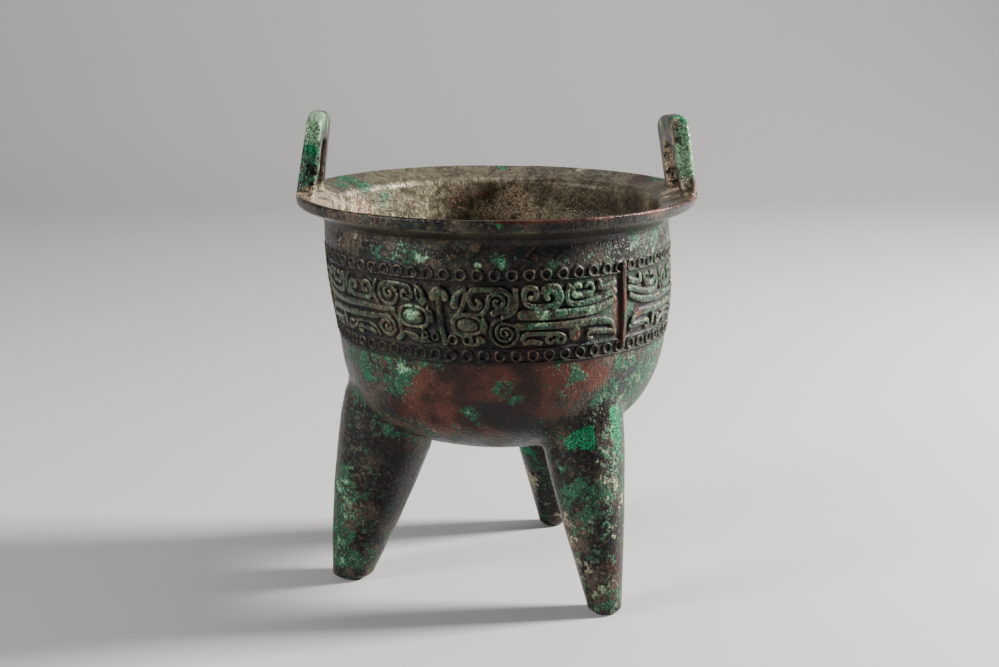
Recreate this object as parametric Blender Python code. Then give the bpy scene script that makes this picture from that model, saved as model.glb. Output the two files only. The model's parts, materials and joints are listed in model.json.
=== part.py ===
"""Bronze ding: a deep round bowl on three hollow conical legs, with two upright loop handles
standing on its rim and a band of three beast masks cast in low relief around its wall.

The vessel is one casting. Units are metres, +Z is up, the bowl's axis is the Z axis and the
feet stand on Z = 0. The front, as photographed, faces -Y. A bearing is an angle around the
axis, counted from the front towards +X.
"""
import math

import bmesh
import bpy
import numpy as np
from mathutils import Matrix, Vector
from mathutils.geometry import delaunay_2d_cdt

MM = 0.001

# rim
RIM_RADIUS = 0.0848
RIM_HEIGHT = 0.1707
RIM_FACE = 0.0048
RIM_FACE_TAPER = 0.0007
MOUTH_RADIUS = 0.0694
MOUTH_DROP = 0.0050
RIM_ROOT_DROP = 0.0095
RIM_ROOT_OUT = 0.0012

# bowl wall: the neck stands around the mouth, and the profile gives the outer radius as a
# share of the neck's, with its height, from under the rim down to the pole
WALL = 0.0034
FLOOR_WALL = 0.0038
FLOOR_EASE = 0.8
MOUTH_CLEARANCE = 0.0100
NECK_RADIUS = MOUTH_RADIUS + WALL
BOWL_PROFILE = (
    (0.999, 0.1600), (1.007, 0.1530), (1.001, 0.1440), (0.994, 0.1310), (0.974, 0.1170),
    (0.953, 0.1040), (0.908, 0.0920), (0.816, 0.0800), (0.618, 0.0700), (0.330, 0.0655),
)
BOWL_BOTTOM = 0.0642
SIDES = 42
SHARP_ANGLE = 32
PROFILE_STEP = 0.0005

# how the casting went out of true: the wall's sideways shift by height, and the rim's tilt,
# which sets in along the neck
SWAY = ((0.075, 0.0012), (0.110, 0.0025), (0.150, 0.0005), (0.165, 0.0))
RIM_TILT = 0.007
TILT_SPAN = (0.120, 0.165)

# frieze
MASKS = 3
NOSE_BEARING = -17.9
LINE_HEIGHTS = (0.1449, 0.1181, 0.1120)
LINE_RISE = 0.0007
LINE_WIDTH = 0.0011
CIRCLET_TOP = 0.1504
CIRCLETS_PER_MASK = 23
CIRCLET_RADIUS = 0.0023
CIRCLET_RISE = 0.0008
CIRCLET_SIDES = 4
RELIEF = 0.0010
EYE_RISE = 0.0024
NOSE_RISE = 0.0014
SEAM_RISE = 0.0013
EYE_CROWN = 0.53
EYE_POINTS = 6
EYE_SQUARENESS = 2.7
RELIEF_DRAFT = 0.22
UNROLL_RADIUS = 0.0735

# the mask's drawing, in its own millimetres: its width and left edge around the wall, and the
# heights of the two raised lines that it lies between
DRAWN_WIDTH = 153.94
DRAWN_START = -75.1
DRAWN_LINES = (144.9, 118.1)
LID_WIDTH = 1.2
CURL_STEP = 30
SCAN_STEP = 0.4
STROKE_REACH = 1.5
FAR_AWAY = 9.0
LINE_GAP = 0.6
OUTLINE_TOLERANCE = 0.75
TOLERANCE_STEP = 0.85
CROSSING_MARGIN = 0.02
SMALLEST_ISLAND = 0.8
LONGEST_RUN = 9.0
SAME_POINT = 1e-6
NO_AREA = 1e-7

# legs: bearing, distance of the foot and of the top from the axis as shares of the neck's
# radius, the leg's own radius low down and at the top, and how much fuller its middle is as
# a share of the radius at the top
LEGS = (
    ("front", 40.6, 0.918, 0.657, 0.0069, 0.0184, 0.030),
    ("back", 156.3, 0.859, 0.673, 0.0060, 0.0208, 0.030),
    ("left", -82.3, 0.915, 0.570, 0.0090, 0.0232, 0.060),
)
# height along a leg and the share of its low radius, top radius and fullness there; then
# its hollow
LEG_FORM = (
    (0.0, 0.64, 0.0, 0.0), (0.0020, 1.0, 0.0, 0.0), (0.026, 0.676, 0.324, 0.70),
    (0.050, 0.394, 0.606, 1.0), (0.072, 0.127, 0.873, 0.45), (0.086, 0.0, 1.0, 0.0),
    (0.0960, 0.0, 0.91, 0.0),
)
LEG_TOP = 0.0960
LEG_SIDES = 13
LEG_WALL = 0.0040
LEG_HOLLOW_END = 0.0250
LEG_HOLLOW_TOP = 0.0800
LEG_HOLLOW_TIP = 0.0030
LEG_HOLLOW_LEVELS = 3
HOLLOW_SIDES = 8

# handles: bearing, inset from the rim's edge as a share of the rim's width, rise, lean over
# the mouth and roll along the rim
HANDLES = (
    ("right", 94.2, 0.351, 0.0311, 7.8, 4.5),
    ("left", -89.4, 0.448, 0.0330, 6.8, -4.5),
)
HANDLE_WIDTH = 0.0440
HANDLE_BAR = 0.0094
HANDLE_TOP_BAR = 0.0112
HANDLE_CROWN = 0.0054
HANDLE_INNER_CROWN = 0.0090
CROWN_POWER = 0.85
CROWN_STEPS = 8
HANDLE_THICK = 0.0065
HANDLE_SINK = 0.0035
HANDLE_BEVEL = 0.0020
HANDLE_WELD = 0.00001
SLIVER = 0.000002


def clear_scene():
    for thing in list(bpy.data.objects):
        bpy.data.objects.remove(thing, do_unlink=True)


def new_collection(name):
    group = bpy.data.collections.new(name)
    bpy.context.scene.collection.children.link(group)
    return group


def bronze_material():
    """Old bronze under a dark green-brown patina."""
    mat = bpy.data.materials.new("patinated_bronze")
    mat.use_nodes = True
    shader = mat.node_tree.nodes["Principled BSDF"]
    shader.inputs["Base Color"].default_value = (0.075, 0.085, 0.065, 1.0)
    shader.inputs["Metallic"].default_value = 0.35
    shader.inputs["Roughness"].default_value = 0.62
    return mat


def smooth_curve(points, step):
    """Catmull-Rom curve through a few control points, sampled about every step."""
    p = np.array(points, float)
    p = np.vstack([2 * p[0] - p[1], p, 2 * p[-1] - p[-2]])
    spans = []
    for i in range(1, len(p) - 2):
        a, b, c, d = p[i - 1], p[i], p[i + 1], p[i + 2]
        count = max(2, int(np.hypot(*(c - b)) / step))
        t = (np.arange(count) / count)[:, None]
        cubic = (3 * b - a - 3 * c + d) * t ** 3
        spans.append(0.5 * (2 * b + (c - a) * t + (2 * a - 5 * b + 4 * c - d) * t ** 2 + cubic))
    spans.append(p[-2:-1])
    return np.vstack(spans)


def wall_profile():
    """Outer radius and height of the bare wall's stations, from under the rim down."""
    return [(share * NECK_RADIUS, height) for share, height in BOWL_PROFILE]


def outer_radius(height):
    """Radius of the bare wall, without relief, at a height."""
    curve = smooth_curve(wall_profile(), PROFILE_STEP)
    return float(np.interp(height, curve[::-1, 1], curve[::-1, 0]))


def sway_at(height):
    """Sideways shift of the wall at a height, eased between the named stations."""
    for (z0, x0), (z1, x1) in zip(SWAY, SWAY[1:]):
        if z0 <= height <= z1:
            t = (height - z0) / (z1 - z0)
            return x0 + (x1 - x0) * (1 - math.cos(math.pi * t)) / 2
    return SWAY[0][1] if height < SWAY[0][0] else SWAY[-1][1]


def polar(bearing, radius, height):
    """Point at a bearing in radians, a radius and a height, out of true as the casting is."""
    x = radius * math.sin(bearing) + sway_at(height)
    tilt = RIM_TILT * float(np.interp(height, TILT_SPAN, (0.0, 1.0)))
    return Vector((x, -radius * math.cos(bearing), height - tilt * x))


# Pattern of one mask, in millimetres of its drawing: u is the distance around the wall from
# the nose and z the height. A stroke is its width at each end and the points along its middle.

def curl(cu, cz, r0, r1, a0, a1):
    """Points along an arc or spiral about (cu, cz), from angle a0 to a1 in degrees."""
    steps = max(3, int(abs(a1 - a0) / CURL_STEP))
    points = []
    for i in range(steps + 1):
        t = i / steps
        a = math.radians(a0 + (a1 - a0) * t)
        r = r0 + (r1 - r0) * t
        points.append((cu + r * math.cos(a), cz + r * math.sin(a)))
    return points


def nose_strokes():
    head = (2.6, 2.6, curl(-0.6, 138.6, 2.6, 2.6, 195, -15))
    bridge = (2.0, 2.5, [(-0.7, 140.2), (-1.0, 128.0), (0.1, 120.0)])
    return [head, bridge]


def back_scrolls():
    """Tail end of the body, towards the seam: drawn for the right side of a mask."""
    return [
        (1.9, 2.6, [(51.4, 141.8), (50.2, 138.6), (51.4, 135.3), (55.4, 134.6), (62, 135.3),
                    (67, 136.5), (72.2, 138)]),
        (1.8, 2.6, curl(54.8, 140.1, 1.9, 2.2, 50, 260) + [(57.5, 138.1), (60.4, 138.4)]),
        (2.1, 2.5, [(65.0, 142.0), (65.2, 140.4), (68, 140.2), (72.0, 141.3)]),
        (2.2, 1.4, [(71.6, 121.7), (66, 122.2), (60.8, 122.7)]
         + curl(60.0, 121.2, 1.7, 1.2, 120, 300)),
    ]


def right_strokes():
    horn = curl(14.3, 136.3, 1.1, 2.5, 60, -180) + curl(14.3, 136.6, 2.9, 5.0, -195, -265)
    horn += [(18.5, 141.6), (22.5, 141.6)] + curl(23.8, 137.2, 4.2, 3.9, 75, -95) + [(20.6, 132.3)]
    scroll = curl(35.9, 139.7, 1.6, 3.0, -110, 180) + [(33.2, 136.8), (35.2, 135.0), (39.0, 134.6)]
    scroll += curl(43.3, 138.4, 3.7, 1.3, -100, 215)
    haunch = [(30, 126.9)] + curl(24.5, 124.0, 3.8, 3.1, 80, 385)
    haunch += curl(25.1, 124.7, 1.5, 0.7, 60, 320)
    return [
        (0.9, 3.3, [(10.2, 141.8), (6.6, 139.4), (5.4, 135.4)]),
        (1.7, 2.3, horn),
        (2.2, 2.4, curl(22.6, 136.9, 1.6, 1.2, 200, -60)),
        (1.9, 1.9, [(30.1, 141.4), (30.0, 136.4), (28.9, 133.2), (26.2, 131.4)]),
        (2.1, 2.0, scroll),
        (1.5, 1.9, curl(43.8, 138.6, 4.1, 4.3, 155, -50) + [(44.4, 133.0)]),
        (3.4, 3.6, [(31.8, 131.6), (40, 131.2), (52, 131.1)]),
        (3.6, 2.2, [(52, 131.1), (62, 131.6), (68, 133.0), (72.0, 135.0)]),
        (2.9, 3.1, [(30, 126.9), (44, 126.7), (60, 126.8), (67, 126.7)]),
        (3.1, 1.3, [(67, 126.7), (70.2, 125.4), (71.7, 122.4), (71.9, 120.6)]),
        (2.3, 1.4, haunch),
        (1.9, 1.4, [(31.0, 121.6), (33.0, 123.5), (40, 123.6), (46, 123.2)]
         + curl(46.4, 121.1, 2.1, 0.9, 20, -240)),
        (2.2, 2.2, [(32.1, 120.1), (35, 120.5), (38.0, 119.9)]),
        (4.8, 4.8, [(52.8, 125.0), (52.9, 122.0)]),
        (3.1, 3.1, [(3.2, 121.2), (3.4, 121.2)]),
        (3.2, 3.2, [(14.3, 121.4), (14.8, 121.4)]),
    ]


def left_strokes():
    tail = [
        (w0, w1, [(-(u * 0.92 + 6.0), z) for u, z in points]) for w0, w1, points in back_scrolls()
    ]
    scroll = curl(-36.2, 138.6, 1.2, 3.0, 290, 0) + [(-33.2, 136.2), (-35.4, 134.9), (-39, 134.5)]
    scroll += curl(-44.3, 138.2, 3.6, 1.0, 280, -35)
    haunch = [(-33, 127.4)] + curl(-26.2, 124.4, 3.9, 3.8, 100, -180)
    haunch += curl(-26.5, 124.0, 3.2, 0.5, -190, -540)
    return tail + [
        (1.1, 2.8, [(-10.4, 142.0), (-8.3, 140.6), (-7.2, 136.6)]),
        (2.0, 1.3, [(-25, 141.9), (-19.5, 142.0)] + curl(-15.3, 138.4, 3.4, 0.9, 75, -300)),
        (1.8, 1.1, curl(-23.9, 137.9, 4.2, 4.7, 95, 340) + [(-19.0, 138.0)]),
        (2.2, 2.4, curl(-23.3, 138.1, 1.5, 1.1, 20, 280)),
        (2.0, 1.9, scroll),
        (1.8, 3.2, [(-21.4, 131.4), (-30, 131.2), (-40, 131.3), (-52, 131.2)]),
        (3.2, 2.2, [(-52, 131.2), (-62, 131.6), (-68, 133), (-72.0, 135)]),
        (2.4, 2.8, [(-33, 127.4), (-44, 127.0), (-60, 126.8), (-67, 126.7)]),
        (2.8, 1.3, [(-67, 126.7), (-70.2, 125.4), (-71.7, 122.4), (-71.9, 120.6)]),
        (1.7, 1.3, haunch),
        (1.4, 2.3, [(-22.4, 130.2), (-20.1, 127.6), (-19.4, 124.0), (-19.4, 121.4), (-21.4, 120.0)]),
        (1.8, 1.4, [(-34.6, 120.3), (-37, 121.4), (-41.4, 121.6)]
         + curl(-43.4, 120.5, 1.4, 1.1, 60, 250)),
        (2.5, 2.5, [(-56, 125), (-56.2, 121.8)]),
        (1.2, 3.2, [(-17.4, 122.9), (-15.4, 122.0), (-13.4, 121.3)]),
        (3.2, 1.2, [(-13.4, 121.3), (-10.4, 120.1), (-6.9, 120.1)]),
        (2.6, 2.6, [(-4.2, 122.0), (-4.0, 122.0)]),
    ]


def seam_stroke():
    return (2.3, 2.3, [(77.2, 143.0), (77.2, 119.6)])


# centre, half width and half height of each eye, then of the lid around it
EYES = (
    ((9.9, 127.4), (4.2, 2.5), (5.6, 3.6)),
    ((-12.6, 129.6), (4.5, 2.9), (6.3, 4.2)),
)


def oval_reach(u, z, centre, half):
    """Roughly the distance in mm outside a rounded oval, negative inside."""
    du = np.abs(u - centre[0]) / half[0]
    dz = np.abs(z - centre[1]) / half[1]
    power = EYE_SQUARENESS
    return ((du ** power + dz ** power) ** (1 / power) - 1) * min(half)


def drawing_scale(width):
    """Drawing millimetres for one millimetre of the wall, around it and up it."""
    tall = (LINE_HEIGHTS[0] - LINE_HEIGHTS[1]) / MM
    return DRAWN_WIDTH / width, (DRAWN_LINES[0] - DRAWN_LINES[1]) / tall


def on_wall(u, z, width):
    """Where a point of the drawing comes on the wall, in millimetres around and up."""
    across, up = drawing_scale(width)
    return u / across, LINE_HEIGHTS[1] / MM + (z - DRAWN_LINES[1]) / up


def on_drawing(u, z, width):
    """The reverse of on_wall."""
    across, up = drawing_scale(width)
    return u * across, DRAWN_LINES[1] + (z - LINE_HEIGHTS[1] / MM) * up


def relief_field(u, z):
    """Signed distance to the raised bands on a grid, negative inside, and each one's rise."""
    best = np.full(u.shape, FAR_AWAY)
    rise = np.full(u.shape, RELIEF)
    strokes = [(s, NOSE_RISE) for s in nose_strokes()]
    strokes += [(s, RELIEF) for s in right_strokes() + back_scrolls() + left_strokes()]
    strokes.append((seam_stroke(), SEAM_RISE))
    for (w0, w1, points), height in strokes:
        middle = smooth_curve(points, SCAN_STEP)
        run = np.r_[0, np.cumsum(np.hypot(*np.diff(middle, axis=0).T))]
        half_widths = (w0 + (w1 - w0) * run / run[-1]) / 2
        for (cu, cz), half_width in zip(middle, half_widths):
            reach = half_width + STROKE_REACH
            cols = np.flatnonzero(np.abs(u[0] - cu) < reach)
            rows = np.flatnonzero(np.abs(z[:, 0] - cz) < reach)
            patch = np.ix_(rows, cols)
            dist = np.hypot(u[patch] - cu, z[patch] - cz) - half_width
            nearer = dist < best[patch]
            rise[patch] = np.where(nearer, height, rise[patch])
            best[patch] = np.where(nearer, dist, best[patch])
    for centre, ball, lid in EYES:
        ring = np.abs(oval_reach(u, z, centre, lid)) - LID_WIDTH / 2
        rise = np.where(ring < best, RELIEF, rise)
        best = np.minimum(best, ring)
        eye = oval_reach(u, z, centre, ball)
        rise = np.where(eye < best, NOSE_RISE, rise)
        best = np.minimum(best, eye)
    return best, rise


def cell_crossings(dist, i, j):
    """Where the zero line enters and leaves one grid cell, as pairs of cell edges."""
    corners = (dist[j, i] < 0, dist[j, i + 1] < 0, dist[j + 1, i + 1] < 0, dist[j + 1, i] < 0)
    edges = ((j, i, 0), (j, i + 1, 1), (j + 1, i, 0), (j, i, 1))
    outs = [edges[k] for k in range(4) if corners[k] and not corners[(k + 1) % 4]]
    ins = [edges[k] for k in range(4) if not corners[k] and corners[(k + 1) % 4]]
    return list(zip(ins, outs))


def zero_loops(dist, us, zs):
    """Closed outlines of the raised bands, with the raised side on their left."""
    inside = dist < 0
    mixed = inside[:-1, :-1].astype(int) + inside[1:, :-1] + inside[:-1, 1:] + inside[1:, 1:]
    follow = {}
    for j, i in np.argwhere((mixed > 0) & (mixed < 4)):
        for enter, leave in cell_crossings(dist, i, j):
            follow[leave] = enter

    def place(edge):
        j, i, upright = edge
        a = dist[j, i]
        b = dist[j + 1, i] if upright else dist[j, i + 1]
        t = min(max(a / (a - b), CROSSING_MARGIN), 1 - CROSSING_MARGIN)
        if upright:
            return (us[i], zs[j] + t * (zs[j + 1] - zs[j]))
        return (us[i] + t * (us[i + 1] - us[i]), zs[j])

    loops = []
    while follow:
        start = next(iter(follow))
        edge = follow.pop(start)
        loop = [start]
        while edge != start:
            loop.append(edge)
            edge = follow.pop(edge)
        loops.append(np.array([place(e) for e in loop]))
    return loops


def thin_line(points, tolerance):
    """Douglas-Peucker: keep only the points that a line needs."""
    if len(points) < 3:
        return points
    a, b = points[0], points[-1]
    chord = b - a
    length = np.hypot(*chord)
    if length < SAME_POINT:
        off = np.hypot(*(points - a).T)
    else:
        off = np.abs(chord[0] * (points[:, 1] - a[1]) - chord[1] * (points[:, 0] - a[0])) / length
    k = int(off.argmax())
    if off[k] <= tolerance:
        return points[[0, -1]]
    first = thin_line(points[:k + 1], tolerance)
    return np.vstack([first[:-1], thin_line(points[k:], tolerance)])


def thin_loop(loop, tolerance):
    """Thin a closed outline between its two farthest ends."""
    k = int(np.hypot(*(loop - loop[0]).T).argmax())
    there = thin_line(loop[:k + 1], tolerance)
    back = thin_line(np.vstack([loop[k:], loop[:1]]), tolerance)
    return np.vstack([there[:-1], back[:-1]])


def split_long(loop, longest):
    """Break long straight runs so that the outline can follow the round wall."""
    out = []
    for a, b in zip(loop, np.roll(loop, -1, axis=0)):
        pieces = max(1, math.ceil(abs(b[0] - a[0]) / longest))
        out += [a + (b - a) * k / pieces for k in range(pieces)]
    return np.array(out)


def window_start(width):
    """Left edge of a mask's window, in millimetres around the wall from its nose."""
    return DRAWN_START * width / DRAWN_WIDTH


def mask_outlines(width, tolerance):
    """Outlines of everything raised in one mask, each with its rise."""
    us = window_start(width) + np.arange(0, width + SCAN_STEP, SCAN_STEP)
    low = LINE_HEIGHTS[1] / MM + LINE_GAP
    high = LINE_HEIGHTS[0] / MM - LINE_GAP
    zs = np.arange(low, high + SCAN_STEP, SCAN_STEP)
    u, z = np.meshgrid(us, zs)
    dist, rise = relief_field(*on_drawing(u, z, width))
    dist[0] = dist[-1] = 1.0
    dist[:, 0] = dist[:, -1] = 1.0
    found = []
    for loop in zero_loops(dist, us, zs):
        slim = thin_loop(loop, tolerance)
        if len(slim) < 3:
            continue
        area = 0.5 * np.sum(slim[:, 0] * np.roll(slim[:, 1], -1)
                            - slim[:, 1] * np.roll(slim[:, 0], -1))
        if abs(area) < SMALLEST_ISLAND:
            continue
        slim = split_long(slim, LONGEST_RUN)
        cols = np.clip(((slim[:, 0] - us[0]) / SCAN_STEP).round().astype(int), 0, len(us) - 1)
        rows = np.clip(((slim[:, 1] - zs[0]) / SCAN_STEP).round().astype(int), 0, len(zs) - 1)
        found.append((slim, rise[rows, cols]))
    return found


def clear_outlines(width):
    """Mask outlines, thinned as far as they can be without touching each other."""
    tolerance = OUTLINE_TOLERANCE
    while True:
        outlines = mask_outlines(width, tolerance)
        points = [Vector(p) for loop, _ in outlines for p in loop]
        edges = []
        for loop, _ in outlines:
            first = len(edges)
            edges += [(first + k, first + (k + 1) % len(loop)) for k in range(len(loop))]
        if len(delaunay_2d_cdt(points, edges, [], 0, SAME_POINT)[0]) == len(points):
            return outlines
        tolerance *= TOLERANCE_STEP


def circlet_outlines(width, low, high):
    """A low stud for each circlet, evenly spaced in one mask's width: its foot and its tip."""
    pitch = width / CIRCLETS_PER_MASK
    middle = (low + high) / 2
    feet, tips = [], []
    for k in range(CIRCLETS_PER_MASK):
        turn = np.arange(CIRCLET_SIDES) * 2 * math.pi / CIRCLET_SIDES + math.pi / 2
        centre = window_start(width) + pitch * (k + 0.5)
        ring = np.stack([centre + CIRCLET_RADIUS / MM * np.cos(turn),
                         middle + CIRCLET_RADIUS / MM * np.sin(turn)], axis=1)
        feet.append((ring, None))
        tips.append((centre, middle, CIRCLET_RISE))
    return feet, tips


def eye_points(width):
    """Points inside each eyeball that lift its middle."""
    points = []
    for centre, ball, _ in EYES:
        for k in range(EYE_POINTS):
            a = 2 * math.pi * k / EYE_POINTS
            u = centre[0] + ball[0] * EYE_CROWN * math.cos(a)
            z = centre[1] + ball[1] * EYE_CROWN * math.sin(a)
            points.append((*on_wall(u, z, width), EYE_RISE))
    return points


def add_strip(bm, rows, turn, outlines, peaks, width):
    """Fill one strip of wall between two rows of vertices with raised outlines."""
    segments = len(rows[0]) - 1
    low, high = rows[0][0][1], rows[1][0][1]
    start = window_start(width)
    flat = [(start + width * k / segments, low) for k in range(segments + 1)]
    flat += [(start + width * k / segments, high) for k in range(segments, -1, -1)]
    rim_count = len(flat)
    walls = [(k, (k + 1) % rim_count) for k in range(rim_count)]
    steps = []
    lifts = {}
    for loop, rise in outlines:
        first = len(flat)
        flat += [tuple(p) for p in loop]
        around = [(first + k, first + (k + 1) % len(loop)) for k in range(len(loop))]
        walls += around
        if rise is not None:
            steps += around
            lifts.update({first + k: float(r) for k, r in enumerate(rise)})
    for u, z, lift in peaks:
        lifts[len(flat)] = lift
        flat.append((u, z))
    mesh = delaunay_2d_cdt([Vector(p) for p in flat], walls, [], 0, SAME_POINT)
    faces, origins = mesh[2], mesh[3]
    order = [o[0] for o in origins]
    outline_edges = {frozenset(e) for e in steps}
    triangles = [tuple(order[v] for v in face) for face in faces]
    triangles = [t for t in triangles if abs(turn_area([flat[v] for v in t])) > NO_AREA]
    raised = raised_triangles(triangles, outline_edges, rim_count)

    push = outward_push(flat, steps)
    top, base = {}, {}

    def vertex(k, is_top):
        if k < rim_count:
            side = 0 if k <= segments else 1
            column = k if side == 0 else rim_count - 1 - k
            return rows[side][column][0]
        stepped = k in push
        store = top if is_top or not stepped else base
        if k not in store:
            u, z = flat[k]
            lift = lifts.get(k, 0.0)
            if stepped and not is_top:
                u, z, lift = u + push[k][0], z + push[k][1], 0.0
            store[k] = bm.verts.new(wall_point(u, z, lift, turn))
        return store[k]

    for tri, up in zip(triangles, raised):
        if turn_area([flat[v] for v in tri]) < 0:
            tri = tri[::-1]
        bm.faces.new([vertex(v, up) for v in tri])
    for a, b in steps:
        bm.faces.new([vertex(a, False), vertex(b, False), vertex(b, True)])
        bm.faces.new([vertex(a, False), vertex(b, True), vertex(a, True)])


def turn_area(points):
    (ax, ay), (bx, by), (cx, cy) = points
    return ((bx - ax) * (cy - ay) - (cx - ax) * (by - ay)) / 2


def raised_triangles(triangles, outline_edges, rim_count):
    """Whether each triangle is raised: crossing an outline changes it."""
    by_edge = {}
    for index, tri in enumerate(triangles):
        for k in range(3):
            by_edge.setdefault(frozenset((tri[k], tri[(k + 1) % 3])), []).append(index)
    state = [None] * len(triangles)
    start = next(i for i, tri in enumerate(triangles) if min(tri) < rim_count)
    state[start] = False
    queue = [start]
    while queue:
        index = queue.pop()
        tri = triangles[index]
        for k in range(3):
            edge = frozenset((tri[k], tri[(k + 1) % 3]))
            for other in by_edge[edge]:
                if state[other] is None:
                    state[other] = state[index] != (edge in outline_edges)
                    queue.append(other)
    return state


def outward_push(flat, edges):
    """A small step out of the raised side at each outline point, for the walls' draft."""
    normal = {}
    for a, b in edges:
        du, dz = flat[b][0] - flat[a][0], flat[b][1] - flat[a][1]
        size = math.hypot(du, dz)
        for k in (a, b):
            old = normal.get(k, (0.0, 0.0))
            normal[k] = (old[0] + dz / size, old[1] - du / size)
    out = {}
    for k, (nu, nz) in normal.items():
        size = max(math.hypot(nu, nz), SAME_POINT)
        out[k] = (nu / size * RELIEF_DRAFT, nz / size * RELIEF_DRAFT)
    return out


def wall_point(u, z, lift, turn):
    height = z * MM
    bearing = math.radians(NOSE_BEARING + turn) + u * MM / UNROLL_RADIUS
    return polar(bearing, outer_radius(height) + lift, height)


def mask_width():
    """Width of one mask's window, in millimetres around the wall."""
    return 2 * math.pi * UNROLL_RADIUS / MASKS / MM


def ring(bm, radius, height):
    """A ring of wall vertices that starts where the first mask's window starts."""
    first = math.radians(NOSE_BEARING) + window_start(mask_width()) * MM / UNROLL_RADIUS
    return [
        bm.verts.new(polar(first + 2 * math.pi * k / SIDES, radius, height))
        for k in range(SIDES)
    ]


def join_rings(bm, lower, upper):
    """Quads between two rings, facing out when the lower one comes first."""
    for k in range(SIDES):
        n = (k + 1) % SIDES
        bm.faces.new([lower[k], lower[n], upper[n], upper[k]])


def close_ring(bm, loop, height, facing_down):
    pole = bm.verts.new((0, 0, height))
    for k in range(SIDES):
        pair = [loop[(k + 1) % SIDES], loop[k]] if facing_down else [loop[k], loop[(k + 1) % SIDES]]
        bm.faces.new(pair + [pole])


def bowl_outside():
    """Closed solid of the bowl's outer form, rim and frieze, filled level with the mouth."""
    bm = bmesh.new()
    line_a, line_b, line_c = LINE_HEIGHTS
    half = LINE_WIDTH / 2
    window = mask_width()
    profile = wall_profile()

    def wall_ring(height, lift=0.0):
        return ring(bm, outer_radius(height) + lift, height)

    lower = [ring(bm, r, z) for r, z in reversed(profile[5:])]
    plain = lower + [wall_ring(line_c - half), wall_ring(line_c, LINE_RISE)]
    close_ring(bm, lower[0], BOWL_BOTTOM, True)
    beads_low = (wall_ring(line_c + half), wall_ring(line_b - half))
    mask_low = (wall_ring(line_b + half), wall_ring(line_a - half))
    beads_high = (wall_ring(line_a + half), wall_ring(CIRCLET_TOP))
    crest_b = wall_ring(line_b, LINE_RISE)
    crest_a = wall_ring(line_a, LINE_RISE)
    chain = plain + [beads_low[0]]
    for a, b in zip(chain, chain[1:]):
        join_rings(bm, a, b)
    for a, b in ((beads_low[1], crest_b), (crest_b, mask_low[0]),
                 (mask_low[1], crest_a), (crest_a, beads_high[0])):
        join_rings(bm, a, b)

    low_beads = ((line_c + half) / MM, (line_b - half) / MM)
    high_beads = ((line_a + half) / MM, CIRCLET_TOP / MM)
    mask_span = ((line_b + half) / MM, (line_a - half) / MM)
    strips = (
        (beads_low, low_beads, *circlet_outlines(window, *low_beads)),
        (mask_low, mask_span, clear_outlines(window), eye_points(window)),
        (beads_high, high_beads, *circlet_outlines(window, *high_beads)),
    )
    part = SIDES // MASKS
    for mask in range(MASKS):
        for loops, span, outlines, peaks in strips:
            rows = [
                [(loop[(mask * part + k) % SIDES], height) for k in range(part + 1)]
                for loop, height in zip(loops, span)
            ]
            add_strip(bm, rows, mask * 360 / MASKS, outlines, peaks, window)

    rim_foot = RIM_HEIGHT - RIM_FACE
    root = RIM_HEIGHT - RIM_ROOT_DROP
    neck = [beads_high[1], wall_ring(profile[0][1])]
    neck.append(ring(bm, profile[0][0] + RIM_ROOT_OUT, root))
    neck.append(ring(bm, RIM_RADIUS - RIM_FACE_TAPER, rim_foot))
    neck.append(ring(bm, RIM_RADIUS, RIM_HEIGHT))
    neck.append(ring(bm, MOUTH_RADIUS, RIM_HEIGHT - MOUTH_DROP))
    for a, b in zip(neck, neck[1:]):
        join_rings(bm, a, b)
    close_ring(bm, neck[-1], RIM_HEIGHT - MOUTH_DROP, False)
    return mesh_from(bm, "bowl_outside")


def mesh_from(bm, name):
    mesh = bpy.data.meshes.new(name)
    bm.normal_update()
    bm.to_mesh(mesh)
    bm.free()
    return mesh


def bowl_hollow():
    """Solid of the bowl's inside: its wall inset, standing a little above the mouth."""
    bm = bmesh.new()
    mouth = RIM_HEIGHT - MOUTH_DROP
    profile = wall_profile()
    levels = [(r - WALL, z) for r, z in (profile[1], *profile[4:8])]
    levels += [(r - WALL, z + FLOOR_WALL * FLOOR_EASE) for r, z in profile[8:]]
    rings = [ring(bm, r, z) for r, z in reversed(levels)]
    rings.append(ring(bm, MOUTH_RADIUS, mouth))
    rings.append(ring(bm, MOUTH_RADIUS, mouth + MOUTH_CLEARANCE))
    close_ring(bm, rings[0], BOWL_BOTTOM + FLOOR_WALL, True)
    for a, b in zip(rings, rings[1:]):
        join_rings(bm, a, b)
    close_ring(bm, rings[-1], mouth + MOUTH_CLEARANCE, False)
    return mesh_from(bm, "bowl_hollow")


def leg_axis(leg, height):
    """Middle of a leg at a height: it splays out towards the foot."""
    _, bearing, foot_share, top_share, _, _, _ = leg
    spread = NECK_RADIUS * (foot_share + (top_share - foot_share) * height / LEG_TOP)
    a = math.radians(bearing)
    return Vector((spread * math.sin(a) + SWAY[0][1], -spread * math.cos(a), height))


def cone_mesh(name, leg, stations, sides):
    """Closed solid of round level sections strung on a leg's sloping middle line."""
    bm = bmesh.new()
    loops = []
    for radius, height in stations:
        middle = leg_axis(leg, height)
        loop = []
        for k in range(sides):
            a = math.radians(leg[1]) + 2 * math.pi * k / sides
            out = Vector((math.sin(a), -math.cos(a), 0))
            loop.append(bm.verts.new(middle + radius * out))
        loops.append(loop)
    for low, high in zip(loops, loops[1:]):
        for k in range(sides):
            n = (k + 1) % sides
            bm.faces.new([low[k], low[n], high[n], high[k]])
    bm.faces.new(loops[0][::-1])
    bm.faces.new(loops[-1])
    return mesh_from(bm, name)


def leg_stations(leg):
    low_radius, top_radius, fuller = leg[4:]
    return [(low * low_radius + (top + full * fuller) * top_radius, height)
            for height, low, top, full in LEG_FORM]


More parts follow.
